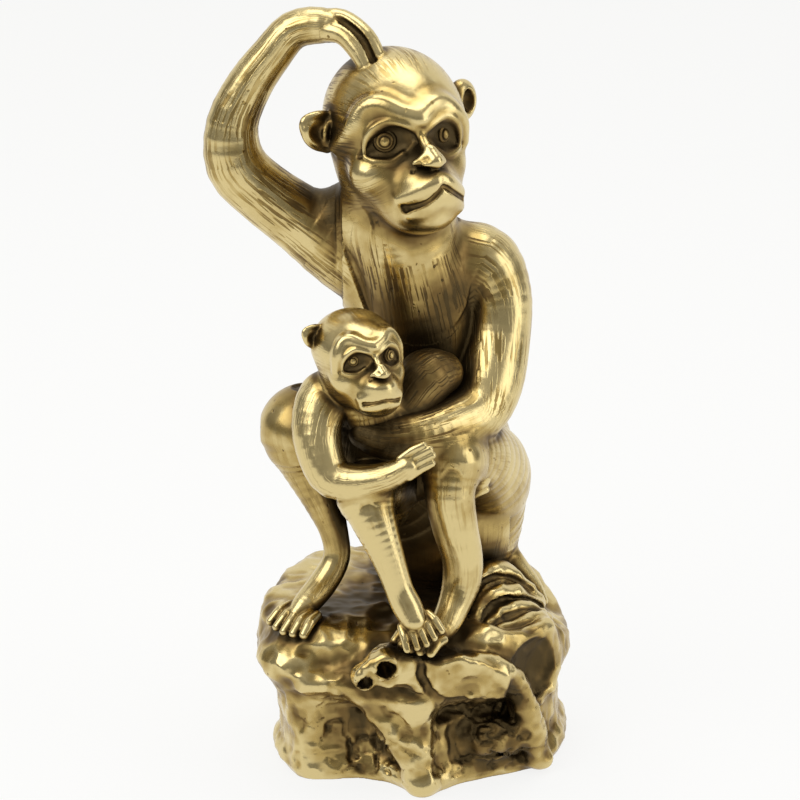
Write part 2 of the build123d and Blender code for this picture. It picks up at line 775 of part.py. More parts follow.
def adult_lower_parts(parts):
    """The adult's legs and tail, cut to the trunk and the rock in parts."""
    trunk = parts["adult_trunk"]
    ground = [parts[name] for name in ("rock_base", "rock_slab", "rock_lobe", "rock_coil")]
    right_ankle = ankle(right_ankle_shares, right_ankle_rise)
    left_ankle = ankle(left_ankle_shares, left_ankle_rise)
    right_thigh = limb(right_hip(), right_knee(), thigh_thickness, right_thigh_shares)
    right_thigh = trimmed(right_thigh, trunk, *ground)
    left_thigh = limb(left_hip(), left_knee(), thigh_thickness, left_thigh_shares)
    left_thigh = trimmed(left_thigh, trunk, right_thigh, parts["adult_left_upper_arm"], *ground)
    right_shin = limb(right_knee(), right_ankle, right_shin_thickness, right_shin_shares)
    right_shin = trimmed(right_shin, right_thigh, trunk, *ground)
    left_shin = limb(left_knee(), left_ankle, shin_thickness, shin_shares)
    left_shin = trimmed(left_shin, left_thigh, trunk, *ground)
    right_foot = foot(
        right_ankle, right_foot_turn, foot_length, right_ankle_rise, foot_thickness, toe_length, toe_thickness
    )
    left_foot = foot(
        left_ankle, left_foot_turn, foot_length, left_ankle_rise, foot_thickness, toe_length, toe_thickness
    )
    tail_root = on_trunk(tail_place_shares)
    tail = limb(tail_root, aimed(tail_root, tail_aim, tail_length), tail_thickness, tail_shares)
    return {
        "adult_right_thigh": right_thigh,
        "adult_right_shin": right_shin,
        "adult_right_foot": trimmed(right_foot, right_shin, *ground),
        "adult_left_thigh": left_thigh,
        "adult_left_shin": left_shin,
        "adult_left_foot": trimmed(left_foot, left_shin, *ground),
        "adult_tail": trimmed(tail, trunk, left_thigh, *ground),
    }


def young_upper_parts(parts):
    """The young one's trunk, head, ear and arms, cut to the adult pieces in parts."""
    trunk, right_thigh, right_shin, left_thigh, left_shin = (
        parts[name] for name in
        ("adult_trunk", "adult_right_thigh", "adult_right_shin", "adult_left_thigh", "adult_left_shin")
    )
    body = limb(
        young_seat(), on_young((0, 0, 1)), young_trunk_width, young_trunk_shares,
        side=(1, 0, 0), flatness=young_trunk_flatness,
    )
    body = trimmed(body, trunk, right_thigh, right_shin, left_thigh, left_shin)
    frame = young_head_frame()
    size = (young_head_width, young_head_depth, young_head_height)
    skull = trimmed(head(frame, *size, young_eye_size), body, trunk)

    shoulder = on_young(young_right_shoulder_shares)
    elbow = aimed(shoulder, young_right_elbow_aim, young_upper_arm_length)
    upper_arm = limb(shoulder, elbow, young_arm_thickness, young_upper_arm_shares)
    upper_arm = trimmed(upper_arm, body, skull, right_thigh, right_shin)
    wrist = aimed(elbow, young_forearm_aim, young_forearm_length)
    forearm = limb(elbow, wrist, young_arm_thickness, young_forearm_shares, side=(0, 0, 1))
    fingers = []
    for spread in young_finger_spread_shares:
        root = wrist + Vector(0, -spread, spread) * (young_arm_thickness / 2)
        tip = aimed(root, young_finger_aim, young_finger_length)
        fingers.append(limb(root, tip, young_finger_thickness, toe_girth_shares, side=(0, 0, 1), ruled=True))
    forearm = trimmed(joined(forearm, *fingers), upper_arm, body)

    left_shoulder_place = on_young(young_left_shoulder_shares)
    left_arm = limb(
        left_shoulder_place, aimed(left_shoulder_place, young_left_arm_aim, young_left_arm_length),
        young_left_arm_thickness, young_left_arm_shares,
    )
    return {
        "young_trunk": body,
        "young_head": skull,
        "young_right_ear": ear(frame, *size, young_ear_length, -1, skull, right_thigh, upper_arm),
        "young_right_upper_arm": upper_arm,
        "young_right_forearm": forearm,
        "young_left_arm": trimmed(left_arm, body, skull, trunk),
    }


def adult_left_forearm(parts):
    """The adult's left forearm and hand, round the young one."""
    forearm = limb(left_elbow(), on_young(left_hand_shares), left_arm_thickness, left_forearm_shares, side=(0, 0, 1))
    names = (
        "adult_left_upper_arm", "adult_trunk", "adult_left_thigh", "young_trunk", "young_head",
        "young_left_arm", "young_right_forearm", "young_right_upper_arm",
    )
    return trimmed(forearm, *[parts[name] for name in names])


def young_lower_parts(parts):
    """The young one's legs, cut to the pieces in parts."""
    hip = on_young(young_right_hip_shares)
    knee = aimed(hip, young_right_knee_aim, young_thigh_length)
    thigh = limb(hip, knee, young_thigh_thickness, young_thigh_shares, side=(0, 0, 1))
    names = (
        "young_trunk", "young_right_forearm", "young_right_upper_arm", "adult_left_forearm", "adult_right_thigh",
    )
    thigh = trimmed(thigh, *[parts[name] for name in names])
    shin = limb(knee, young_ankle(), young_shin_thickness, young_shin_shares)
    shin = trimmed(shin, thigh, parts["young_right_forearm"], parts["young_trunk"])
    sole = foot(
        young_ankle(), young_foot_turn, young_foot_length, young_ankle_drop, young_foot_thickness,
        young_toe_length, young_toe_thickness,
    )
    names = ("adult_left_foot", "adult_left_shin", "rock_slab", "rock_base")
    sole = trimmed(sole, shin, *[parts[name] for name in names])
    left_hip_place = on_young(young_left_hip_shares)
    left_leg = limb(
        left_hip_place, aimed(left_hip_place, young_left_leg_aim, young_left_leg_length),
        young_left_leg_thickness, young_left_leg_shares, side=(0, 0, 1),
    )
    names = (
        "young_trunk", "adult_trunk", "young_right_forearm", "adult_left_forearm", "adult_left_thigh",
        "adult_left_shin", "adult_right_thigh",
    )
    left_leg = trimmed(left_leg, thigh, *[parts[name] for name in names])
    return {
        "young_right_thigh": thigh,
        "young_right_shin": shin,
        "young_right_foot": sole,
        "young_left_leg": left_leg,
    }


def add_spigots(parts):
    """The brazed spigots between the main sections."""
    up = Vector(0, 0, 1)
    sit = Vector(seat().X, seat().Y, rock_height)
    spigoted(parts, "adult_trunk", ["rock_base"], sit + up * spigot_depth, sit - up * spigot_depth, seat_spigot)
    neck = on_trunk(neck_shares)
    spigoted(parts, "adult_trunk", ["adult_head"], neck - up * spigot_depth, neck + up * spigot_depth, neck_spigot)
    core = on_trunk(shoulder_core_shares)
    for name, root in (("adult_right_upper_arm", right_shoulder()), ("adult_left_upper_arm", left_shoulder())):
        spigoted(parts, name, ["adult_trunk"], root, aimed(root, core - root, shoulder_reach), shoulder_spigot)
    for name, root, knee in (
        ("adult_right_thigh", right_hip(), right_knee()), ("adult_left_thigh", left_hip(), left_knee()),
    ):
        inner, outer = (root + (knee - root) * share for share in hip_pin_shares)
        spigoted(parts, name, ["adult_trunk"], outer, inner, hip_spigot)
    for name, shares, turn in (
        ("adult_right_foot", right_ankle_shares, right_foot_turn),
        ("adult_left_foot", left_ankle_shares, left_foot_turn),
    ):
        sole = ankle(shares, 0) + heading_of(turn) * (foot_length * foot_pin_share)
        depth = up * small_spigot_depth
        spigoted(parts, name, ["rock_base", "rock_slab"], sole + depth, sole - depth, foot_spigot)
    rump = young_seat() + up * (young_trunk_width / 4)
    lap = right_hip() + (right_knee() - right_hip()) * young_seat_shares[0]
    spigoted(
        parts, "young_trunk", ["adult_right_thigh"], rump, aimed(rump, lap - rump, young_seat_reach),
        young_seat_spigot,
    )
    nape = on_young(young_neck_shares)
    rise = up * small_spigot_depth
    spigoted(parts, "young_trunk", ["young_head"], nape - rise, nape + rise, young_neck_spigot)


def build():
    """Every section of the figurine, by the name of its node."""
    parts = ground_parts()
    parts["adult_trunk"] = adult_trunk(parts["rock_base"], parts["rock_coil"])
    parts.update(adult_upper_parts(parts))
    parts.update(adult_lower_parts(parts))
    parts.update(young_upper_parts(parts))
    parts["adult_left_forearm"] = adult_left_forearm(parts)
    parts.update(young_lower_parts(parts))
    add_spigots(parts)
    return parts


os.makedirs("parts", exist_ok=True)
for name, solid in build().items():
    export_step(solid, f"parts/{name}.step")
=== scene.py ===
"""The looks of a cast brass figurine: a monkey on a rock, one arm over its head, a young one in its lap.

The metal is one casting with soft valleys where its limbs meet, so its surface is worked out as the
zero level of a distance: the lowest of the distances to limbs, ovals and ridges, with each valley
rounded. Every section of the frame then gets the part of that surface that lies nearest to it.
Sizes are in millimetres until a mesh is made, and the origin is the frame's.
"""

import logging
import math
from dataclasses import dataclass, field, replace
from enum import Enum

import bpy
import numpy as np
from mathutils import Euler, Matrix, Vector


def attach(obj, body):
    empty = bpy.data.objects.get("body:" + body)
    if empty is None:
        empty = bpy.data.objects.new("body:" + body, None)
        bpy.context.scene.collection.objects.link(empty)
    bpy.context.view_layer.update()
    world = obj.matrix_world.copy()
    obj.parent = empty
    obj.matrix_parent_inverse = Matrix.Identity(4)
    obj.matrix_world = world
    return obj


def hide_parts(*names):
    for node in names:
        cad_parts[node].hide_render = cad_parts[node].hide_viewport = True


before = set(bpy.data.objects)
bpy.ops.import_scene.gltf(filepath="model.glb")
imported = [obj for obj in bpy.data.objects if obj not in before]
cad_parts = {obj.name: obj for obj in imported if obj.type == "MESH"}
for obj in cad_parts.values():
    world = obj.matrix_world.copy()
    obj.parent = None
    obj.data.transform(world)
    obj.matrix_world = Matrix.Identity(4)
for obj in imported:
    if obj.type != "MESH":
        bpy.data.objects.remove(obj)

log = logging.getLogger("figurine")
Field = np.ndarray
Place = tuple[float, float, float]
Station = tuple[float, float, float, float]

# One millimetre in metres
METRE = 0.001
# Millimetres: farther than any distance that matters, and how far past its box a form still counts
FAR = 60.0
MARGIN = 4.0
# Keeps a division away from nought
TINY = 1e-9
# How far apart a slope's four places lie, where a vertex is landed and where a cap's middle is sunk
LANDING_REACH, CAP_REACH = 0.04, 0.1
# The least slope that a vertex is moved by
LEAST_SLOPE = 0.5
# How many times a cap's middle is moved, and how much deeper than it has to be
CAP_MOVES, CAP_SPARE = 4, 0.6
# How far the crags' noise lies from the lumps', in cells
CRAG_SHIFT = 40.0
# How many times a bend is spread over its neighbours
BULGE_SPREADS = 3
# Hair keeps the first, less the second times how squarely it runs into the metal, and at most all
HAIR_KEPT, HAIR_LOST = 1.5, 2.6
# The corners of a grid's cell
CUBE = [(i, j, k) for i in (0, 1) for j in (0, 1) for k in (0, 1)]
SEAM_WALL = 0.7
SEAM_DROP = 1.5


class Act(Enum):
    """Whether a form adds metal or cuts it away."""

    ADD = "add"
    CUT = "cut"


class Side(Enum):
    """A side of the animal, as the sign of X in its head's frame."""

    RIGHT = -1
    LEFT = 1


@dataclass(frozen=True)
class HeadPose:
    """Where a head's middle is, how it is turned in degrees, and its size as a share of the adult's."""

    middle: Place
    turn: Place
    scale: float = 1.0

    def matrix(self) -> np.ndarray:
        """The turning matrix, from the head's own frame to the figurine's."""
        return np.array(Euler([math.radians(value) for value in self.turn]).to_matrix())

    def placed(self, local: Place) -> np.ndarray:
        """A place of the head's own frame, in the figurine's frame."""
        return np.array(self.middle) + self.matrix() @ (np.array(local) * self.scale)


ADULT_HEAD = HeadPose((-8.8, -3.0, 142.5), (0.0, -2.0, 28.0))
YOUNG_HEAD = HeadPose((-15.0, -25.0, 100.1), (0.0, -3.0, 26.0), 0.62)


def blended(first: Field, second: Field, width: Field | float) -> Field:
    """Joins two distances with a rounded valley.

    The lower of the two, less a quarter of the width times the square of how close they are.

    Args:
        first: Distances to one form, in millimetres.
        second: Distances to the other form.
        width: How wide the rounded valley is.

    Returns:
        Distances to the joined form.
    """
    width = np.maximum(width, 1e-4)
    close = np.clip(1.0 - np.abs(first - second) / width, 0.0, 1.0)
    return np.minimum(first, second) - close * close * width / 4.0


def carved(solid: Field, tool: Field, width: Field | float) -> Field:
    """Distances to a solid with a tool's form cut out of it, its rim rounded over a width."""
    return -blended(-solid, tool, width)


def curve_through(stations: np.ndarray, steps: int) -> np.ndarray:
    """A smooth line through stations.

    Between two stations the line is the cubic whose slope at each is half the run from the
    station before to the station after (a Catmull-Rom curve).

    Args:
        stations: One row for each station, of any number of values.
        steps: How many runs each gap is divided into.

    Returns:
        The rows along the line.
    """
    padded = np.vstack([2 * stations[0] - stations[1], stations, 2 * stations[-1] - stations[-2]])
    share = np.linspace(0.0, 1.0, steps, endpoint=False)[None, :, None]
    before, start, end, after = (padded[i : i + len(stations) - 1, None, :] for i in range(4))
    rows = 0.5 * (
        2 * start
        + (end - before) * share
        + (2 * before - 5 * start + 4 * end - after) * share**2
        + (3 * start - before - 3 * end + after) * share**3
    )
    return np.vstack([rows.reshape(-1, stations.shape[1]), stations[-1:]])


@dataclass
class Form:
    """One shape in a casting, known by its distance at any place."""

    act: Act = Act.ADD
    blend: float = 1.0
    node: str = ""
    fur: float = 1.0

    def reach(self) -> tuple[np.ndarray, np.ndarray]:
        """The lowest and highest corner of the room that the form fills."""
        raise NotImplementedError

    def distance(self, places: np.ndarray) -> Field:
        """Distances from places to the form's surface, negative inside."""
        raise NotImplementedError

    def near(self, places: np.ndarray, margin: float) -> np.ndarray:
        """Which places lie in or near the form.

        Args:
            places: Any places.
            margin: How far outside the form's box a place still counts.

        Returns:
            Their row numbers.
        """
        low, high = self.reach()
        low, high = low - margin, high + margin
        kept = np.flatnonzero((places[:, 2] > low[2]) & (places[:, 2] < high[2]))
        chosen = places[kept]
        return kept[((chosen[:, :2] > low[:2]) & (chosen[:, :2] < high[:2])).all(1)]

    def grain(self, places: np.ndarray) -> np.ndarray:
        """Places along the hair, then across it, in millimetres."""
        return places[:, [2, 0, 1]]

    def heading(self, places: np.ndarray) -> np.ndarray:
        """Which way the hair runs at each place, or nothing where it follows the surface."""
        return np.zeros_like(places)

    def merged(self, total: Field, places: np.ndarray) -> Field:
        """Distances of a casting after this form is added to it or cut from it."""
        if self.act is Act.ADD:
            return blended(total, self.distance(places), self.blend)
        return carved(total, self.distance(places), self.blend)


@dataclass
class Strand(Form):
    """A limb: a ball whose radius changes, carried along a smooth line.

    A station is a place on the line and the ball's radius there. The valley at the root is wide,
    and narrows over the root's reach. Press is how much a distance counts along each axis, and a
    limb of several nodes gives, for each, the share of its length at which it begins.
    """

    stations: tuple[Station, ...] = ()
    root_blend: float = 0.0
    root_reach: float = 9.0
    steps: int = 4
    side: Place = (0.0, 1.0, 0.0)
    press: Place = (1.0, 1.0, 1.0)
    parts: tuple[tuple[str, float], ...] = ()

    def __post_init__(self) -> None:
        """Works out the smooth line and how far along it each of its rows lies."""
        self.line = curve_through(np.array(self.stations, float), self.steps)
        runs = np.linalg.norm(np.diff(self.line[:, :3], axis=0), axis=1)
        self.along = np.concatenate([[0.0], np.cumsum(runs)])

    def reach(self) -> tuple[np.ndarray, np.ndarray]:
        """The box round all its balls."""
        centres, radii = self.line[:, :3], self.line[:, 3:]
        return (centres - radii).min(0), (centres + radii).max(0)

    def nearest(self, places: np.ndarray) -> tuple[Field, Field]:
        """The distance to the nearest ball, and how far along the line that ball lies.

        Along each straight run the ball's centre is the foot of the perpendicular, and its
        radius changes evenly; the lowest distance of all the runs is kept.

        Args:
            places: Any places.

        Returns:
            The distances, and the lengths along the line.
        """
        best = np.full(len(places), FAR)
        at = np.zeros(len(places))
        press = np.array(self.press)
        for index in range(len(self.line) - 1):
            start, end = self.line[index], self.line[index + 1]
            run = end[:3] - start[:3]
            squared = max(float(run @ run), TINY)
            offset = places - start[:3]
            share = np.clip(offset @ run / squared, 0.0, 1.0)
            offset = (offset - share[:, None] * run) * press
            found = np.sqrt((offset * offset).sum(1)) - (start[3] + share * (end[3] - start[3]))
            better = found < best
            best = np.where(better, found, best)
            at = np.where(better, self.along[index] + share * math.sqrt(squared), at)
        return best, at

    def distance(self, places: np.ndarray) -> Field:
        """The distance to the nearest ball on the line."""
        return self.nearest(places)[0]

    def merged(self, total: Field, places: np.ndarray) -> Field:
        """Joins the limb with a wide valley at its root and a narrow one beyond it.

        Args:
            total: Distances of the casting so far.
            places: Where they were taken.

        Returns:
            Distances of the casting with the limb.
        """
        found, at = self.nearest(places)
        if self.act is Act.CUT:
            return carved(total, found, self.blend)
        wider = max(self.root_blend - self.blend, 0.0)
        return blended(total, found, self.blend + wider * np.clip(1.0 - at / self.root_reach, 0.0, 1.0))

    def heading(self, places: np.ndarray) -> np.ndarray:
        """The line's own direction at the ball nearest to each place."""
        _, at = self.nearest(places)
        slopes = np.gradient(self.line[:, :3], self.along, axis=0)
        slopes /= np.linalg.norm(slopes, axis=1, keepdims=True)
        return np.stack([np.interp(at, self.along, slopes[:, axis]) for axis in range(3)], 1)

    def grain(self, places: np.ndarray) -> np.ndarray:
        """How far along the line each place is, then which side of the line it is on.

        The side is the way from the ball's centre, as long as the line's mean radius, so that hair
        keeps to its side where the limb bends or thins.

        Args:
            places: Places on the surface.

        Returns:
            For each, its length along the line and its two offsets across it.
        """
        _, at = self.nearest(places)
        centres = np.stack([np.interp(at, self.along, self.line[:, axis]) for axis in range(3)], 1)
        heading = self.heading(places)
        first = np.array(self.side) - (heading @ np.array(self.side))[:, None] * heading
        first /= np.linalg.norm(first, axis=1, keepdims=True) + TINY
        second = np.cross(heading, first)
        offset = places - centres
        one, other = (offset * first).sum(1), (offset * second).sum(1)
        girth = self.line[:, 3].mean() / (np.hypot(one, other) + TINY)
        return np.stack([at, one * girth, other * girth], 1)


@dataclass
class Lump(Form):
    """An oval: the places whose offsets, divided by three radii, are one away from its middle."""

    middle: Place = (0.0, 0.0, 0.0)
    radii: Place = (1.0, 1.0, 1.0)
    turn: Place = (0.0, 0.0, 0.0)

    def __post_init__(self) -> None:
        """Works out the turning matrix once."""
        self.matrix = np.array(Euler([math.radians(value) for value in self.turn]).to_matrix())

    def reach(self) -> tuple[np.ndarray, np.ndarray]:
        """The box of the sphere round the oval."""
        most = max(self.radii)
        return np.array(self.middle) - most, np.array(self.middle) + most

    def distance(self, places: np.ndarray) -> Field:
        """The first-order distance: the scaled offset, times itself less one, over its slope.

        Args:
            places: Any places.

        Returns:
            The distances, negative inside.
        """
        local = (places - np.array(self.middle)) @ self.matrix
        radii = np.array(self.radii)
        level = np.sqrt(((local / radii) ** 2).sum(1))
        slope = np.sqrt(((local / radii**2) ** 2).sum(1)) + TINY
        return np.where(level < TINY, -min(self.radii), level * (level - 1.0) / slope)


@dataclass
class Cluster(Form):
    """Forms that are joined among themselves, in their own frame, before they join the rest."""

    forms: list[Form] = field(default_factory=list)
    middle: Place = (0.0, 0.0, 0.0)
    turn: Place = (0.0, 0.0, 0.0)
    scale: float = 1.0
    ball: float = 20.0

    def __post_init__(self) -> None:
        """Works out the turning matrix and the box once."""
        self.matrix = np.array(Euler([math.radians(value) for value in self.turn]).to_matrix())
        lows, highs = zip(*(form.reach() for form in self.forms if form.act is Act.ADD))
        low, high = np.min(lows, 0), np.max(highs, 0)
        corners = np.stack(np.meshgrid(*zip(low, high)), -1).reshape(-1, 3)
        placed = self.placed(corners)
        self.low, self.high = placed.min(0), placed.max(0)

    def placed(self, local: np.ndarray) -> np.ndarray:
        """Places of the cluster's own frame, in the figurine's frame."""
        return local * self.scale @ self.matrix.T + np.array(self.middle)

    def local(self, places: np.ndarray) -> np.ndarray:
        """Places of the figurine's frame, in the cluster's own frame."""
        return (places - np.array(self.middle)) @ self.matrix / self.scale

    def reach(self) -> tuple[np.ndarray, np.ndarray]:
        """The box round every form that adds metal."""
        return self.low, self.high

    def distance(self, places: np.ndarray) -> Field:
        """The distance to the joined and cut forms."""
        return joined(self.forms, self.local(places), MARGIN) * self.scale

    def grain(self, places: np.ndarray) -> np.ndarray:
        """Hair that runs back from the face: the angle from the nose, then round it.

        Args:
            places: Places on the surface.

        Returns:
            For each, its way back over the ball and its two offsets across that way.
        """
        local = self.local(places)
        local = local / (np.linalg.norm(local, axis=1, keepdims=True) + TINY)
        angle = np.arccos(np.clip(-local[:, 1], -1.0, 1.0))
        round_face = np.arctan2(local[:, 2], local[:, 0])
        ball = self.ball * self.scale
        return np.stack([angle * ball, np.cos(round_face) * ball, np.sin(round_face) * ball], 1)


def joined(forms: list[Form], places: np.ndarray, margin: float) -> Field:
    """Distances from places to forms, taken one after the other.

    Args:
        forms: What is added or cut, in order.
        places: Any places.
        margin: How far outside a form's box it still counts.

    Returns:
        The distances, or the far distance where no form is near.
    """
    total = np.full(len(places), FAR)
    for form in forms:
        rows = form.near(places, margin + form.blend)
        if len(rows):
            total[rows] = form.merged(total[rows], places[rows])
    return total


def doubled(values: np.ndarray) -> np.ndarray:
    """A grid with a value halfway between each two neighbours, along all three axes.

    Args:
        values: The coarse grid.

    Returns:
        The fine grid, with the same corners.
    """
    for axis in range(3):
        values = np.moveaxis(values, axis, 0)
        finer = np.empty((values.shape[0] * 2 - 1, *values.shape[1:]), values.dtype)
        finer[::2] = values
        finer[1::2] = (values[1:] + values[:-1]) / 2
        values = np.moveaxis(finer, 0, axis)
    return values


def sampled(forms: list[Form], low: np.ndarray, high: np.ndarray, step: float, levels: int) -> np.ndarray:
    """Distances on a grid, worked out in full only near the surface.

    The coarsest grid is filled. Each finer one takes the means of its neighbours, and those that
    lie within 2.4 of its steps from the surface are worked out anew.

    Args:
        forms: The forms of the casting.
        low: The grid's lowest corner.
        high: A corner past which nothing lies.
        step: The spacing of the finest grid, in millimetres.
        levels: How many grids there are, each half as coarse as the last.

    Returns:
        The finest grid of distances.
    """
    spacing = step * 2 ** (levels - 1)
    counts = np.ceil((high - low) / spacing).astype(int) + 1
    axes = [low[axis] + np.arange(counts[axis]) * spacing for axis in range(3)]
    places = np.stack(np.meshgrid(*axes, indexing="ij"), -1).reshape(-1, 3)
    values = joined(forms, places, spacing * 2.5).reshape(counts).astype(np.float32)
    for _ in range(levels - 1):
        spacing /= 2
        values = np.ascontiguousarray(doubled(values))
        near = np.abs(values) < spacing * 2.4
        values[near] = joined(forms, low + np.argwhere(near) * spacing, spacing * 3)
    return values


def net_over(values: np.ndarray, low: np.ndarray, step: float) -> tuple[np.ndarray, np.ndarray]:
    """A closed net of four-sided faces over the zero level of a grid.

    Each cell that the surface passes through gets one vertex, at the mean of the places where
    its edges cross zero, and each grid edge that crosses zero gets the face of its four cells.

    Args:
        values: Distances on the grid.
        low: The grid's lowest corner.
        step: The grid's spacing.

    Returns:
        The vertices, and the faces as rows of four vertex numbers.
    """
    inside = values < 0
    count = np.zeros(tuple(n - 1 for n in values.shape), np.uint8)
    for i, j, k in CUBE:
        count += inside[i : i + count.shape[0], j : j + count.shape[1], k : k + count.shape[2]]
    active = (count > 0) & (count < 8)
    cells = np.argwhere(active)
    number = np.full(count.shape, -1, np.int32)
    number[active] = np.arange(len(cells), dtype=np.int32)
    total = np.zeros((len(cells), 3))
    hits = np.zeros(len(cells))
    ways = np.eye(3, dtype=int)
    for axis, way in enumerate(ways):
        for corner in (corner for corner in CUBE if not corner[axis]):
            start, end = values[tuple((cells + corner).T)], values[tuple((cells + corner + way).T)]
            crosses = (start < 0) != (end < 0)
            share = np.where(crosses, start / np.where(crosses, start - end, 1.0), 0.0)
            total += crosses[:, None] * (np.array(corner) + share[:, None] * way)
            hits += crosses
    vertices = low + (cells + total / hits[:, None]) * step
    faces = []
    for axis in range(3):
        others = [(axis + 1) % 3, (axis + 2) % 3]
        one, two = ways[others]
        edges = np.argwhere(np.diff(inside, axis=axis))
        within = (edges[:, others] > 0) & (edges[:, others] < np.array(inside.shape)[others] - 1)
        edges = edges[within.all(1)]
        leaves = inside[tuple(edges.T)]
        ring = [edges - one - two, edges - two, edges, edges - one]
        quads = np.stack([number[tuple(cell.T)] for cell in ring], 1)
        quads[~leaves] = quads[~leaves][:, ::-1]
        faces.append(quads)
    return vertices, np.concatenate(faces)


def slope_of(forms: list[Form], places: np.ndarray, reach: float) -> tuple[Field, np.ndarray]:
    """Distances and their slopes, from four nearby places at the corners of a tetrahedron.

    Args:
        forms: The forms of the casting.
        places: Any places.
        reach: How far off, along each axis, the four places are.

    Returns:
        The mean of the four distances, and the slope: their sum by corner over four reaches.
    """
    corners = np.array([(1, -1, -1), (-1, -1, 1), (-1, 1, -1), (1, 1, 1)], float)
    slope = np.zeros_like(places)
    total = np.zeros(len(places))
    for corner in corners:
        value = joined(forms, places + corner * reach, reach * 4)
        slope += corner * value[:, None]
        total += value / 4
    return total, slope / (4 * reach)


def summed(faces: np.ndarray, values: np.ndarray, count: int) -> np.ndarray:
    """For each vertex, the sum of one row of values for each face that it is in."""
    rows = faces.reshape(-1)
    spread = np.repeat(values, faces.shape[1], axis=0)
    return np.stack([np.bincount(rows, spread[:, axis], count) for axis in range(values.shape[1])], 1)


def normals_of(vertices: np.ndarray, faces: np.ndarray) -> np.ndarray:
    """The unit normal at each vertex: the sum of its faces' crossed diagonals."""
    a, b, c, d = (vertices[faces[:, corner]] for corner in range(4))
    total = summed(faces, np.cross(c - a, d - b), len(vertices))
    return total / (np.linalg.norm(total, axis=1, keepdims=True) + 1e-12)


def neighbour_mean(vertices: np.ndarray, faces: np.ndarray) -> np.ndarray:
    """The mean, for each vertex, of the middles of the faces round it."""
    middles = vertices[faces].mean(1)
    total = summed(faces, middles, len(vertices))
    count = np.bincount(faces.reshape(-1), minlength=len(vertices))[:, None]
    return total / np.maximum(count, 1)


def hashed(cells: np.ndarray) -> Field:
    """A value from 0 to 1 for each cell of a lattice, by large odd factors and mixed bits."""
    mixed = cells[:, 0] * 374761393 + cells[:, 1] * 668265263 + cells[:, 2] * 2147483647
    mixed = (mixed ^ (mixed >> 13)) * 1274126177
    mixed = (mixed ^ (mixed >> 16)) & 0xFFFFFF
    return mixed / float(0xFFFFFF)


def noise(places: np.ndarray, octaves: int = 1) -> Field:
    """Smooth noise from -1 to 1: lattice values, eased between by the quintic curve.

    Each layer is moved along by 17 cells, so that no two of them line up.

    Args:
        places: Places, with one lattice cell to a unit.
        octaves: How many layers, each twice as fine and half as strong.

    Returns:
        The sum of the layers.
    """
    total = np.zeros(len(places))
    strength = 1.0
    for octave in range(octaves):
        scaled = places * 2**octave + 17.0 * octave
        cell = np.floor(scaled).astype(np.int64)
        share = scaled - cell
        share = share**3 * (share * (share * 6 - 15) + 10)
        for corner in CUBE:
            x, y, z = (share[:, axis] if far else 1 - share[:, axis] for axis, far in enumerate(corner))
            total += strength * (x * y * z) * (hashed(cell + corner) * 2 - 1)
        strength /= 2
    return total


def scoop(blend: float, middle: Place, radii: Place, turn: Place = (0.0, 0.0, 0.0)) -> Lump:
    """An oval that is cut out of the metal."""
    return Lump(Act.CUT, blend, middle=middle, radii=radii, turn=turn)


def groove(blend: float, *stations: Station) -> Strand:
    """A smooth line that is cut into the metal."""
    return Strand(Act.CUT, blend, stations=stations)


def laid(forms: list[Form], spots: tuple[Place, ...], sink: float) -> tuple[Station, ...]:
    """Stations on the front of a head.

    Args:
        forms: The head's forms so far.
        spots: The place across, the height and the radius of each station.
        sink: How far behind the surface each lies, as a share of its radius.

    Returns:
        The stations, each where a line that runs back from it first meets the forms.
    """
    depth = np.arange(-30.0, 0.0, 0.1)
    rows = []
    for x, z, radius in spots:
        places = np.stack([np.full_like(depth, x), depth, np.full_like(depth, z)], 1)
        inside = joined(forms, places, MARGIN) < 0
        first = depth[np.argmax(inside)] if inside.any() else depth[-1]
        rows.append((x, float(first) + sink * radius, z, radius))
    return tuple(rows)


def flipped(stations: tuple) -> tuple:
    """Stations on the other side of a head's middle plane."""
    return tuple((-x, *rest) for x, *rest in stations)


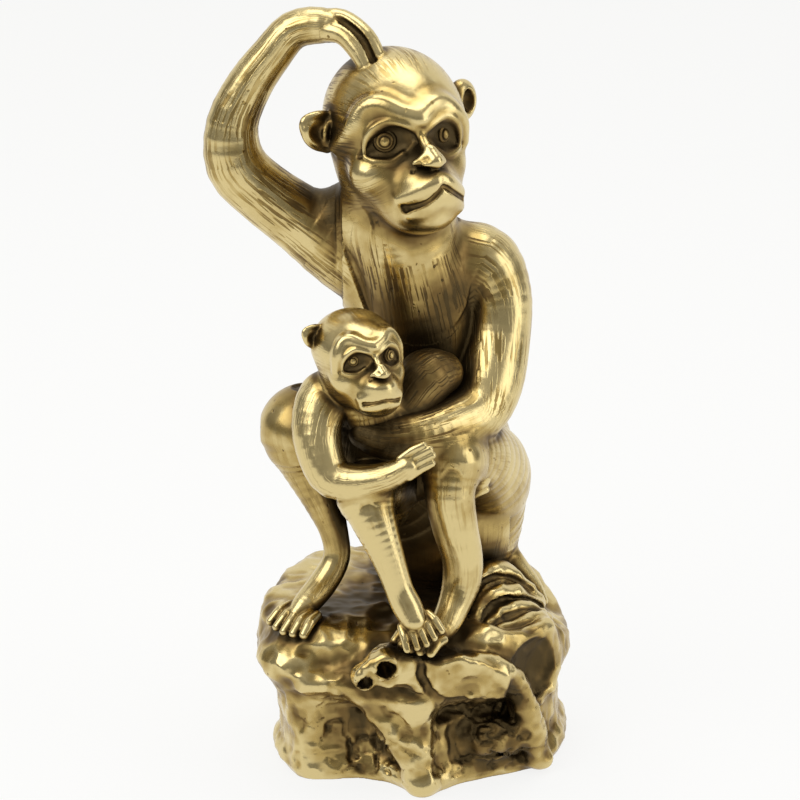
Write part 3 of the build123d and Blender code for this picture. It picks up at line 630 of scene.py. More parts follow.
@dataclass(frozen=True)
class Face:
    """A monkey's head in millimetres of the adult's, its face towards -Y.

    The lines of the face are spots, each a place across, a height and a radius, which are laid on
    the front of what is there already. Those of the socket, its rim and the lower lid are for one
    side, and the other side's are their mirror images.
    """

    lean: float
    crown_height: float
    crown: Place
    brow_right: tuple[Place, ...]
    brow_left: tuple[Place, ...]
    upper_lip: tuple[Place, ...]
    lower_lip: tuple[Place, ...]
    mouth: tuple[Place, ...]
    socket: tuple[Place, ...] = (
        (-1.8, 2.9, 0.9), (-3.6, 2.9, 2.1), (-6.2, 2.2, 3.7), (-8.8, 0.9, 2.7), (-11.4, -1.0, 0.6),
    )
    rim: tuple[Place, ...] = (
        (-10.7, -0.9, 0.4), (-10.2, 2.4, 0.5), (-8.8, 5.0, 0.6), (-6.4, 6.4, 0.6), (-3.4, 5.6, 0.6),
        (-0.9, 4.0, 0.5),
    )
    lid: tuple[Place, ...] = ((-10.4, -1.3, 0.35), (-8.6, -2.0, 0.5), (-6.0, -2.2, 0.5), (-3.8, -0.6, 0.45))

    def skull(self) -> list[Form]:
        """The crown, forehead, jaw, muzzle, chin, nose and cheeks, in the order that they join."""
        lean = self.lean
        return [
            Lump(middle=(lean, 1.0, self.crown_height), radii=self.crown),
            Lump(middle=(lean * 0.5, -7.0, 2.5), radii=(12.2, 9.6, 9.0), blend=5.0),
            Lump(middle=(lean * 0.6, -2.0, -8.5), radii=(12.0, 12.0, 10.0), blend=6.0),
            Lump(middle=(1.2, -12.2, -9.4), radii=(9.2, 9.8, 7.2), blend=4.0),
            Lump(middle=(1.4, -13.4, -13.0), radii=(7.6, 7.4, 6.0), blend=4.0),
            Lump(middle=(0.4, -18.6, -6.4), radii=(4.6, 5.0, 3.2), blend=4.0),
            Lump(middle=(8.4, -10.0, -5.4), radii=(4.6, 4.6, 4.2), blend=4.0),
            Lump(middle=(-8.4, -10.0, -5.4), radii=(4.6, 4.6, 4.2), blend=4.0),
        ]

    def nose(self) -> list[Form]:
        """The bridge, the two wings, the tip, the left nostril's slit and the groove under the tip."""
        bridge = ((-0.2, -16.6, 4.0, 0.9), (-0.2, -18.6, 1.8, 1.1), (0.0, -20.8, 0.0, 1.5), (0.3, -22.2, -1.4, 1.7))
        return [
            Strand(blend=0.8, stations=bridge),
            Strand(blend=0.7, stations=((0.0, -20.6, 0.6, 0.9), (-1.6, -20.6, -1.0, 1.1), (-3.0, -19.8, -2.0, 0.9))),
            Strand(blend=0.7, stations=((0.2, -20.6, 0.6, 0.9), (1.6, -21.2, -0.9, 1.0), (2.6, -20.8, -1.8, 0.8))),
            Lump(middle=(0.2, -21.6, -1.7), radii=(2.9, 1.9, 0.9), turn=(8, 0, 0), blend=0.5),
            groove(0.3, (-3.0, -20.8, -2.6, 0.45), (-3.6, -19.7, -3.0, 0.7), (-3.4, -19.0, -4.0, 0.3)),
            groove(0.4, (-1.8, -21.6, -3.2, 0.5), (0.4, -22.8, -3.3, 0.6), (2.6, -21.6, -3.0, 0.5)),
        ]

    def forms(self) -> list[Form]:
        """The whole head: skull, brows, sockets with their rims and lids, nose, lips and mouth."""
        head = self.skull()
        head += [Strand(blend=2.6, stations=laid(head, spots, 0.25)) for spots in (self.brow_right, self.brow_left)]
        plain = list(head)
        head += [
            groove(0.5, *laid(plain, spots, sink))
            for spots, sink in ((self.socket, -0.36), (flipped(self.socket), -0.5))
        ]
        head += [
            Strand(blend=0.9, stations=laid(plain, spots, 0.3))
            for spots in (self.rim, flipped(self.rim), self.lid, flipped(self.lid))
        ]
        head += self.nose()
        for spots in (self.upper_lip, self.lower_lip):
            head.append(Strand(blend=2.2, stations=laid(head, spots, 0.85)))
        return [*head, groove(0.25, *laid(head, self.mouth, 0.1))]


ADULT_FACE = Face(
    lean=2.6,
    crown_height=3.4,
    crown=(14.7, 16.6, 15.2),
    brow_right=(
        (-12.2, -1.0, 0.8), (-11.8, 3.6, 1.3), (-9.4, 8.4, 1.7), (-6.6, 9.6, 1.8), (-3.6, 8.0, 1.6), (-0.2, 6.6, 1.5),
    ),
    brow_left=(
        (-0.2, 6.6, 1.5), (3.2, 8.6, 1.7), (6.2, 8.9, 1.7), (9.2, 6.9, 1.5), (12.0, 3.6, 1.1), (13.0, -0.6, 0.7),
    ),
    upper_lip=(
        (-6.2, -9.6, 0.6), (-3.6, -8.2, 1.0), (-0.6, -6.0, 1.1), (1.0, -5.0, 1.0), (3.6, -6.8, 1.1), (7.6, -9.8, 0.8),
    ),
    lower_lip=((-4.4, -12.8, 0.7), (-1.8, -11.6, 1.2), (1.0, -9.6, 1.4), (4.4, -10.8, 1.1), (8.0, -13.2, 0.7)),
    mouth=(
        (-5.6, -11.4, 1.0), (-4.6, -11.0, 0.65), (-2.0, -9.7, 0.55), (0.3, -7.5, 0.6), (1.3, -6.7, 0.55),
        (4.2, -8.6, 0.5), (8.4, -11.4, 0.45),
    ),
)
YOUNG_BROW = tuple((x, z, radius * 0.8) for x, z, radius in ADULT_FACE.brow_right)
YOUNG_FACE = Face(
    lean=0.0,
    crown_height=2.6,
    crown=(14.4, 15.8, 12.6),
    brow_right=YOUNG_BROW,
    brow_left=flipped(YOUNG_BROW),
    upper_lip=((-6.4, -10.6, 0.9), (0.0, -9.0, 1.2), (6.4, -10.6, 0.9)),
    lower_lip=((-5.6, -13.4, 0.9), (0.0, -12.6, 1.2), (5.6, -13.4, 0.9)),
    mouth=((-6.0, -11.9, 0.95), (-3.4, -11.4, 0.6), (0.0, -10.6, 0.75), (3.4, -11.4, 0.6), (6.0, -11.9, 0.75)),
)


def ear_forms(side: Side) -> list[Form]:
    """One cupped ear in a head's frame, hollowed towards the face.

    Args:
        side: The animal's left ear is round with a drilled hole; its right is a leaf with a rolled rim.

    Returns:
        The forms.
    """
    if side is Side.LEFT:
        return [
            Lump(middle=(20.2, 1.8, 4.6), radii=(4.3, 2.7, 4.8), turn=(0, 0, 24)),
            Lump(middle=(17.0, 2.0, 3.8), radii=(3.6, 2.6, 3.4), blend=1.5),
            scoop(0.5, (21.2, -0.8, 4.8), (2.0, 3.0, 2.7), (0, 0, 24)),
        ]
    rim = (
        (-11.6, 2.4, 5.4, 0.8), (-14.6, 2.0, 6.0, 0.9), (-17.8, 2.0, 5.3, 0.8), (-18.2, 2.2, 3.0, 0.7),
        (-15.6, 2.4, -0.6, 0.8), (-12.6, 2.4, -2.0, 0.8),
    )
    return [
        Lump(middle=(-14.6, 2.4, 2.0), radii=(4.6, 1.9, 3.6), turn=(0, 24, 16)),
        Strand(blend=0.7, stations=rim),
        scoop(0.8, (-15.2, -1.3, 2.4), (3.3, 2.6, 2.4), (0, 24, 16)),
        Strand(blend=0.6, stations=((-12.4, 1.2, 4.2, 0.6), (-13.8, 0.7, 2.2, 0.7), (-13.4, 1.2, -0.4, 0.6))),
    ]


def digits(
    node: str, root: Place, tip: Place, across: Place, count: int, girth: float, arch: float, fan: float
) -> list[Form]:
    """Toes or fingers side by side, each a short arched limb with a knuckle; the outer are shorter.

    Args:
        node: The node that they belong to.
        root: The middle of the row of knuckles.
        tip: The middle of the row of tips.
        across: From the first knuckle to the last.
        count: How many there are.
        girth: The radius of each.
        arch: How far each rises between its ends.
        fan: How much wider the row is at its tips.

    Returns:
        The forms, one for each digit.
    """
    made: list[Form] = []
    start, end, wide = np.array(root, float), np.array(tip, float), np.array(across, float)
    for share in np.linspace(-0.5, 0.5, count):
        short = 1.0 - 0.16 * abs(share * 2) ** 1.5
        first = start + wide * share
        last = start + (end - start) * short + wide * share * fan
        middle = (first + last) / 2 + np.array([0.0, 0.0, arch])
        places = (first, middle, middle * 0.4 + last * 0.6, last)
        rows = tuple((*map(float, place), girth * share) for place, share in zip(places, (1.0, 1.08, 1.0, 0.9)))
        made.append(Strand(blend=0.25, node=node, fur=0.0, stations=rows, steps=2))
    return made


@dataclass
class Plate(Form):
    """A flat block: an outline in its frame's XY plane, carried back from the face as it shrinks."""

    outline: tuple[tuple[float, float], ...] = ()
    depth: float = 10.0
    bevel: float = 1.6
    taper: float = 0.35

    def reach(self) -> tuple[np.ndarray, np.ndarray]:
        """The box round the block."""
        points = np.array(self.outline)
        return np.array([*points.min(0), -self.depth]), np.array([*points.max(0), 0.0])

    def distance(self, places: np.ndarray) -> Field:
        """The greater of the distances to the outline and to the face or the back, rounded over.

        The distance to the outline is that to its nearest edge. It is negative where a line that
        runs sideways from the place crosses the outline an odd number of times.

        Args:
            places: Any places, in the block's own frame.

        Returns:
            The distances, negative inside.
        """
        points = np.array(self.outline)
        edge = np.full(len(places), FAR)
        inside = np.zeros(len(places), bool)
        shrink = 1.0 - self.taper * np.clip(-places[:, 2] / self.depth, 0.0, 1.0)
        flat = points.mean(0) + (places[:, :2] - points.mean(0)) / shrink[:, None]
        for start, end in zip(points, np.roll(points, -1, axis=0)):
            run = end - start
            offset = flat - start
            share = np.clip(offset @ run / (run @ run), 0.0, 1.0)
            edge = np.minimum(edge, np.linalg.norm(offset - share[:, None] * run, axis=1))
            crosses = (start[1] > flat[:, 1]) != (end[1] > flat[:, 1])
            inside ^= crosses & (offset[:, 0] < offset[:, 1] * run[0] / (run[1] or 1e-9))
        edge = np.where(inside, -edge, edge) * shrink
        cap = np.abs(places[:, 2] + self.depth / 2) - self.depth / 2
        return -blended(-edge, -cap, self.bevel)


@dataclass
class Crag(Form):
    """The rock's main mass.

    Seen from above its outline is an oval whose reach changes with the angle round it, from the
    front to the viewer's right and on, between shares chosen for each corner and bay. A row gives,
    at a height, the oval's share of its full size, its shift along X, and how strongly the corners
    and bays show. A top that slopes down at the front and the right closes it.
    """

    half_width: float = 35.0
    half_depth: float = 32.3
    height: float = 36.4
    shoulder: float = 3.0
    corners: tuple[float, ...] = (
        1.04, 0.86, 0.84, 0.90, 0.95, 0.94, 0.94, 0.97, 1.00, 0.93, 0.90, 0.95,
        0.85, 0.86, 0.94, 0.98, 0.92, 0.88, 0.93, 0.99, 1.05, 1.12, 0.85, 0.84,
    )
    rows: tuple[Station, ...] = (
        (0.0, 0.99, 0.0, 0.9), (2.0, 1.02, -0.2, 0.9), (4.0, 1.01, -0.3, 1.0), (6.0, 0.975, -0.4, 1.15),
        (12.0, 0.97, -0.6, 1.2), (17.0, 0.985, -1.0, 1.2), (20.5, 1.04, -1.9, 0.7), (23.0, 1.06, -2.3, 0.5),
        (27.0, 1.05, -2.3, 0.5), (33.0, 1.02, -2.3, 0.5), (38.0, 0.97, -2.0, 0.45),
    )

    def reach(self) -> tuple[np.ndarray, np.ndarray]:
        """The box round the rock."""
        return np.array([-42.0, -38.0, -2.0]), np.array([40.0, 38.0, 40.0])

    def distance(self, places: np.ndarray) -> Field:
        """The greater of the distance to the side and the height above the top, rounded over.

        Args:
            places: Any places.

        Returns:
            The distances, negative inside.
        """
        table = np.array(self.rows)
        spread, shift, strength = (np.interp(places[:, 2], table[:, 0], table[:, column]) for column in (1, 2, 3))
        across = (places[:, 0] - shift) / (self.half_width * spread)
        toward = -places[:, 1] / (self.half_depth * spread)
        angle = np.degrees(np.arctan2(across, toward)) % 360.0
        count = len(self.corners)
        bearings = np.arange(-1, count + 2) * (360.0 / count)
        reaches = np.array([self.corners[-1], *self.corners, *self.corners[:2]])
        corner = sum(np.interp(angle + lean, bearings, reaches) for lean in (-3.0, 0.0, 3.0)) / 3.0
        side = (np.hypot(across, toward) - 1.0 - (corner - 1.0) * strength) * self.half_depth * 0.9
        front, right = (np.clip(past, 0.0, None) for past in (-places[:, 1] - 19.0, places[:, 0] - 22.0))
        top = self.height - 0.05 * front**2 - 0.03 * right**2 + 0.5 * np.sin(places[:, 0] / 5.0)
        return -blended(-side, -(places[:, 2] - top), self.shoulder)


@dataclass
class Hollow(Form):
    """The room under the rock: an oval that narrows towards its roof."""

    act: Act = Act.CUT
    half_width: float = 26.5
    half_depth: float = 21.0
    roof: float = 27.0
    narrowing: float = 4.0

    def reach(self) -> tuple[np.ndarray, np.ndarray]:
        """The box round the room."""
        return np.array([-27.0, -22.0, -3.0]), np.array([27.0, 22.0, 28.0])

    def distance(self, places: np.ndarray) -> Field:
        """The greater of the distance to the wall and the height above the roof, rounded over."""
        lean = self.narrowing * places[:, 2] / self.roof
        ratio = np.hypot(places[:, 0] / (self.half_width - lean), places[:, 1] / (self.half_depth - lean))
        return -blended(-(ratio - 1.0) * 20.0, -(places[:, 2] - self.roof), 6.0)


@dataclass
class Ground(Form):
    """Everything below the flat foot."""

    act: Act = Act.CUT
    blend: float = 0.3

    def reach(self) -> tuple[np.ndarray, np.ndarray]:
        """The room below the foot."""
        return np.array([-60.0, -60.0, -8.0]), np.array([60.0, 60.0, 0.0])

    def distance(self, places: np.ndarray) -> Field:
        """The height above the foot."""
        return places[:, 2]


def slab_forms() -> list[Form]:
    """The wedge in front of the rock, along X from its left tip and with Z out of its flat face."""
    outline = (
        (-1.9, 3.0), (-2.2, 0.3), (0.3, -1.4), (2.8, -0.9), (7.9, -2.3), (13.2, -4.5), (18.9, -5.8), (25.2, -6.8),
        (33.5, -7.6), (32.0, -1.0), (27.0, 3.4), (22.0, 5.2), (18.0, 4.8), (13.2, 5.0), (10.1, 6.4), (4.7, 7.4),
        (0.6, 6.4),
    )
    return [
        Plate(outline=outline),
        Strand(blend=0.8, stations=((4.8, 4.1, -2.0, 3.3), (4.8, 4.1, -1.2, 3.2))),
        Strand(blend=0.8, stations=((0.3, 0.9, -2.0, 2.6), (0.3, 0.9, -1.2, 2.5))),
        groove(0.3, (4.8, 4.1, 4.0, 2.6), (4.8, 4.1, -4.4, 2.0)),
        groove(0.3, (0.3, 0.9, 4.0, 1.9), (0.3, 0.9, -4.0, 1.4)),
        groove(0.5, (12.0, 6.0, 0.3, 0.8), (13.4, 1.0, 0.1, 1.5), (16.4, -5.6, 0.1, 1.3)),
        Strand(blend=0.4, stations=((13.9, 4.4, -0.7, 0.5), (14.8, 0.6, -0.8, 0.8), (17.2, -4.0, -0.8, 0.7))),
        groove(0.4, (6.6, -0.4, 0.4, 0.8), (9.0, -2.0, 0.3, 1.1), (11.0, -3.6, 0.2, 0.7)),
        scoop(0.8, (23.5, -2.0, 1.5), (4.4, 3.0, 2.4), (0, 0, -30)),
    ]


def lobe_forms() -> list[Form]:
    """The lobe at the rock's right end: its body, the edge below the slab, the rim and the bowl."""
    lobe = dict(node="rock_lobe", fur=0.0)
    edge = (
        (11.0, -30.0, 31.4, 1.8), (16.8, -28.6, 28.6, 2.6), (20.8, -25.4, 23.0, 2.8), (22.8, -23.2, 16.0, 3.0),
        (25.0, -21.4, 8.0, 3.0), (26.0, -20.6, 3.6, 3.0),
    )
    rim = (
        (15.5, -24.0, 29.6, 1.4), (16.6, -22.4, 31.8, 1.5), (20.0, -19.6, 32.6, 1.5), (24.4, -16.4, 31.8, 1.5),
        (28.0, -13.2, 28.4, 1.6), (29.2, -12.4, 23.4, 1.7), (28.0, -15.0, 18.6, 1.7), (24.2, -19.6, 17.0, 1.7),
        (20.2, -23.0, 20.2, 1.6), (16.8, -24.8, 26.0, 1.5), (15.5, -24.0, 29.6, 1.4),
    )
    return [
        Lump(middle=(20.4, -15.0, 24.0), radii=(9.8, 6.6, 9.0), turn=(0, 0, 41), blend=1.5, **lobe),
        Strand(blend=2.4, stations=edge, **lobe),
        Strand(blend=0.8, stations=rim, **lobe),
        replace(scoop(0.8, (24.0, -20.2, 25.0), (7.2, 2.0, 7.0), (0, 0, 41)), **lobe),
    ]


def coil_forms() -> list[Form]:
    """The rolled folds above the lobe, and the grooves between them."""
    folds = (
        ((6.6, -20.5, 32.4, 2.6), (8.7, -14.0, 36.6, 3.2), (12.2, -7.0, 39.8, 3.4), (16.3, -2.4, 40.2, 3.4),
         (20.7, -0.8, 37.2, 3.2), (25.0, -0.6, 33.0, 2.8)),
        ((10.2, -20.6, 32.2, 2.0), (11.9, -15.4, 36.2, 2.5), (15.5, -10.2, 37.8, 2.7), (20.7, -6.0, 36.6, 2.6),
         (25.4, -3.4, 32.8, 2.4)),
        ((12.4, -20.4, 32.4, 1.6), (14.6, -16.8, 34.6, 1.9), (18.0, -12.8, 35.0, 2.2), (22.2, -8.8, 34.4, 2.2),
         (26.4, -5.4, 31.6, 2.0)),
        ((14.2, -20.6, 33.0, 1.3), (18.1, -17.2, 33.4, 1.6), (22.4, -13.2, 33.4, 1.8), (26.6, -9.0, 32.4, 1.8),
         (28.2, -6.4, 31.2, 1.5)),
        ((15.2, -21.4, 31.4, 0.9), (18.9, -18.6, 32.2, 1.2), (23.5, -14.6, 31.2, 1.3), (27.6, -10.0, 29.4, 1.3)),
    )
    return [
        *(Strand(blend=0.5, stations=stations, node="rock_coil", fur=0.0) for stations in folds),
        groove(0.3, (9.0, -19.0, 35.4, 0.7), (10.6, -13.6, 39.6, 0.8), (14.6, -8.0, 41.6, 0.8), (19.8, -4.0, 40.2, 0.8),
               (25.0, -2.0, 36.6, 0.6)),
        groove(0.3, (12.4, -19.4, 34.6, 0.5), (14.2, -15.6, 37.4, 0.6), (18.0, -11.0, 37.8, 0.7),
               (23.0, -7.2, 36.4, 0.6), (27.0, -4.4, 33.4, 0.5)),
        groove(0.3, (14.8, -19.4, 34.8, 0.4), (18.4, -15.8, 35.6, 0.6), (22.8, -11.6, 35.4, 0.6),
               (27.2, -7.4, 33.6, 0.5)),
        scoop(0.6, (12.6, -23.6, 31.0), (2.2, 2.6, 2.0), (0, 20, 0)),
    ]


def rock_forms() -> list[Form]:
    """The rock with its slab, lobe and coiled folds, in the order that they join."""
    base = dict(node="rock_base", fur=0.0)
    ridges = (
        ((-27.0, -21.0, 29.2, 1.6), (-21.0, -18.5, 32.2, 1.9), (-14.0, -14.5, 34.8, 1.7), (-9.0, -11.0, 36.2, 1.0)),
        ((-34.0, -17.5, 28.8, 1.6), (-31.0, -20.0, 29.4, 2.0), (-28.0, -23.8, 28.2, 2.2), (-26.6, -26.6, 25.6, 1.8)),
        ((-26.0, -27.4, 24.4, 2.0), (-20.0, -28.0, 25.0, 2.4), (-13.0, -28.6, 24.2, 2.4), (-7.0, -29.4, 21.6, 2.2),
         (-2.6, -30.0, 18.6, 2.0)),
        ((-12.0, -27.6, 21.0, 3.0), (-7.0, -28.6, 15.0, 3.6), (-3.0, -29.8, 8.0, 3.2), (-1.0, -30.8, 3.0, 2.8)),
        ((-2.0, -29.8, 19.4, 2.2), (-1.6, -30.6, 12.0, 2.2), (-0.8, -31.4, 5.0, 2.2), (-0.6, -31.8, 1.6, 2.2)),
    )
    return [
        Crag(**base),
        Lump(middle=(-29.5, -19.0, 27.5), radii=(8.0, 9.0, 5.6), blend=3.0, **base),
        scoop(1.2, (-16.5, -34.5, 11.4), (10.8, 8.6, 8.8), (0, -14, 0)),
        scoop(0.6, (-17.5, -28.5, 13.6), (5.6, 3.4, 2.4), (0, -14, 0)),
        scoop(0.5, (-13.0, -29.5, 3.6), (6.4, 3.8, 1.5), (0, -12, 0)),
        scoop(1.2, (13.5, -33.5, 14.0), (11.8, 8.4, 8.2)),
        scoop(0.6, (8.6, -28.0, 17.0), (6.4, 3.8, 3.0), (0, 10, 0)),
        Lump(middle=(15.0, -23.2, 9.6), radii=(8.4, 4.4, 5.0), blend=3.0, **base),
        scoop(0.9, (33.5, -11.0, 12.0), (3.2, 6.5, 6.5), (0, 0, -20)),
        scoop(0.6, (-39.0, -13.0, 21.8), (2.4, 1.4, 2.4), (0, 10, 0)),
        scoop(0.6, (-37.4, -9.0, 14.5), (2.4, 1.4, 2.6)),
        scoop(0.8, (-34.0, -22.0, 14.0), (2.4, 3.0, 6.0), (0, 20, 0)),
        scoop(1.6, (-19.0, -32.0, 32.0), (8.0, 5.5, 3.2), (12, -8, 6)),
        scoop(2.0, (30.0, 24.0, 14.0), (7.0, 7.0, 8.0)),
        scoop(2.0, (-16.0, 33.0, 12.0), (9.0, 6.0, 8.0)),
        scoop(2.0, (10.0, 33.0, 20.0), (7.0, 5.0, 6.0)),
        scoop(2.0, (-37.0, 10.0, 14.0), (5.0, 8.0, 8.0)),
        *(Strand(blend=2.8, stations=stations, **base) for stations in ridges),
        groove(0.4, (2.4, -32.4, 5.4, 0.7), (5.0, -30.6, 7.0, 1.0), (10.0, -28.0, 5.8, 1.1), (17.0, -25.6, 7.0, 0.9),
               (25.0, -21.0, 8.2, 0.8)),
        Cluster(
            blend=0.8, node="rock_slab", fur=0.0, forms=slab_forms(), middle=(-13.3, -37.8, 28.8),
            turn=(102.0, 0.0, 11.0),
        ),
        scoop(2.0, (37.0, 4.0, 40.0), (14.0, 24.0, 13.0)),
        scoop(1.5, (20.0, -13.0, 42.5), (13.5, 14.0, 9.5)),
        *lobe_forms(),
        *coil_forms(),
        Hollow(blend=0.8),
        Ground(),
    ]


def adult_forms() -> list[Form]:
    """The adult, from the trunk out to the toes, in the order that the forms join."""
    place = vars(ADULT_HEAD)
    return [
        Strand(
            node="adult_trunk", press=(1.0, 1.06, 1.0),
            stations=(
                (4.0, 11.0, 36.0, 12.0), (5.8, 12.0, 48.2, 16.6), (5.0, 11.5, 60.0, 16.8), (2.8, 10.0, 73.4, 15.8),
                (0.6, 8.6, 86.0, 15.2), (-0.6, 7.6, 97.0, 15.4), (-2.6, 6.2, 108.5, 14.2), (-4.6, 3.4, 118.5, 11.6),
                (-6.4, 0.0, 127.0, 10.0),
            ),
        ),
        Strand(
            blend=5.0, node="adult_trunk",
            stations=((0.4, 4.2, 96.0, 8.4), (-1.2, 0.8, 105.0, 10.6), (-3.0, -1.6, 113.5, 10.6),
                      (-4.6, -3.0, 121.0, 9.6)),
        ),
        Strand(
            blend=9.0, node="adult_trunk",
            stations=((-24.0, 5.4, 121.6, 5.8), (-18.5, 4.6, 122.4, 7.2), (-12.6, 3.0, 123.8, 8.6),
                      (-7.0, 1.0, 124.0, 9.2)),
        ),
        Cluster(blend=3.0, node="adult_head", forms=ADULT_FACE.forms(), **place),
        Cluster(blend=0.8, node="adult_right_ear", forms=ear_forms(Side.RIGHT), fur=0.0, **place),
        Cluster(blend=0.8, node="adult_left_ear", forms=ear_forms(Side.LEFT), fur=0.0, **place),
        Strand(
            blend=1.0, root_blend=9.0, root_reach=30.0, steps=3, node="adult_right_upper_arm",
            parts=(("adult_right_upper_arm", 0.0), ("adult_right_forearm", 0.415), ("adult_right_hand", 0.785)),
            stations=(
                (-5.0, 5.4, 106.0, 9.0), (-17.0, 5.6, 114.4, 9.2), (-27.5, 5.0, 122.0, 7.6), (-35.7, 4.0, 128.4, 6.9),
                (-41.2, 3.2, 134.6, 6.7), (-41.9, 3.0, 143.4, 5.7), (-38.1, 3.0, 152.0, 5.0),
                (-33.0, 2.4, 159.0, 4.4), (-28.4, 2.0, 164.2, 4.1), (-22.5, 0.9, 165.5, 3.9),
                (-17.8, -0.6, 164.4, 2.6), (-14.4, -2.6, 161.4, 1.2),
            ),
        ),
        *(
            Strand(blend=0.25, node="adult_right_hand", fur=0.3, stations=stations)
            for stations in (
                ((-23.0, 1.4, 166.6, 2.2), (-17.8, 0.2, 166.8, 2.3), (-12.8, -2.4, 163.6, 2.2),
                 (-9.8, -4.6, 159.2, 1.7)),
                ((-22.6, -0.2, 164.8, 2.4), (-17.8, -2.6, 164.2, 2.2), (-14.4, -4.8, 161.0, 2.1),
                 (-12.2, -6.8, 157.0, 1.7)),
            )
        ),
        groove(0.3, (-18.8, -2.0, 167.6, 0.4), (-17.2, -2.6, 166.7, 0.8), (-13.5, -4.7, 163.6, 0.9),
               (-11.0, -6.7, 158.8, 0.9)),
        Strand(
            blend=1.0, root_blend=7.0, root_reach=22.0, node="adult_left_upper_arm",
            parts=(("adult_left_upper_arm", 0.0), ("adult_left_forearm", 0.60)),
            stations=(
                (3.0, 5.4, 106.0, 8.4), (11.2, 5.0, 111.6, 9.4), (15.8, 3.0, 105.6, 8.0), (16.3, 0.0, 96.5, 7.3),
                (14.6, -6.0, 87.4, 7.2), (11.0, -11.4, 82.4, 6.9), (5.0, -17.4, 81.2, 6.3), (-2.2, -22.4, 80.8, 5.5),
                (-8.6, -24.8, 81.0, 4.6), (-13.0, -24.4, 82.0, 3.6),
            ),
        ),
        Strand(
            blend=1.0, root_blend=7.0, root_reach=20.0, node="adult_right_thigh",
            stations=((4.0, 10.0, 54.0, 14.5), (-5.0, 4.5, 63.0, 12.6), (-15.0, -1.5, 71.0, 10.8),
                      (-25.4, -7.6, 77.6, 9.3)),
        ),
        Strand(
            blend=0.8, root_blend=5.0, root_reach=12.0, node="adult_right_shin", fur=0.6,
            parts=(("adult_right_shin", 0.0), ("adult_right_foot", 0.70)),
            stations=(
                (-27.4, -8.6, 77.2, 8.7), (-25.8, -8.8, 69.5, 6.1), (-22.6, -9.4, 61.0, 4.3),
                (-20.2, -10.2, 54.0, 3.2), (-19.6, -11.0, 48.0, 3.0), (-22.4, -13.2, 43.0, 3.2),
                (-26.0, -16.8, 39.6, 3.0), (-28.2, -19.2, 37.8, 2.3),
            ),
        ),
        *digits("adult_right_foot", (-26.8, -18.6, 38.4), (-31.0, -23.4, 35.4), (6.0, -5.0, -0.4), 5, 1.15, 0.7, 1.25),
        Strand(
            blend=1.0, root_blend=6.0, root_reach=16.0, node="adult_left_thigh", fur=0.25,
            stations=(
                (9.5, 13.5, 44.0, 10.0), (12.0, 12.5, 52.0, 10.8), (13.0, 6.5, 61.5, 11.6), (11.4, -4.5, 69.0, 9.2),
                (8.6, -13.5, 73.0, 7.4), (5.8, -19.5, 74.0, 6.4),
            ),
        ),
        Strand(
            blend=0.8, root_blend=4.0, root_reach=10.0, node="adult_left_shin", fur=0.5,
            parts=(("adult_left_shin", 0.0), ("adult_left_foot", 0.63)),
            stations=(
                (5.8, -20.6, 74.2, 6.4), (5.4, -22.8, 67.3, 5.5), (6.6, -23.2, 60.0, 5.0), (8.2, -22.8, 53.0, 4.5),
                (8.2, -22.6, 47.6, 4.3), (6.6, -24.8, 42.8, 3.6), (4.4, -28.2, 39.2, 3.2), (1.6, -31.2, 37.6, 2.6),
            ),
        ),
        *digits("adult_left_foot", (0.4, -31.4, 38.0), (-3.2, -35.4, 36.4), (7.0, -4.4, -0.6), 5, 1.2, 0.7, 1.1),
        Strand(
            blend=1.2, root_blend=5.0, root_reach=8.0, node="adult_tail",
            stations=((12.0, 15.0, 46.4, 5.0), (17.0, 12.0, 42.2, 3.8), (21.4, 8.6, 38.0, 3.0), (25.0, 5.0, 34.6, 2.4),
                      (27.2, 2.2, 32.0, 1.6)),
        ),
    ]


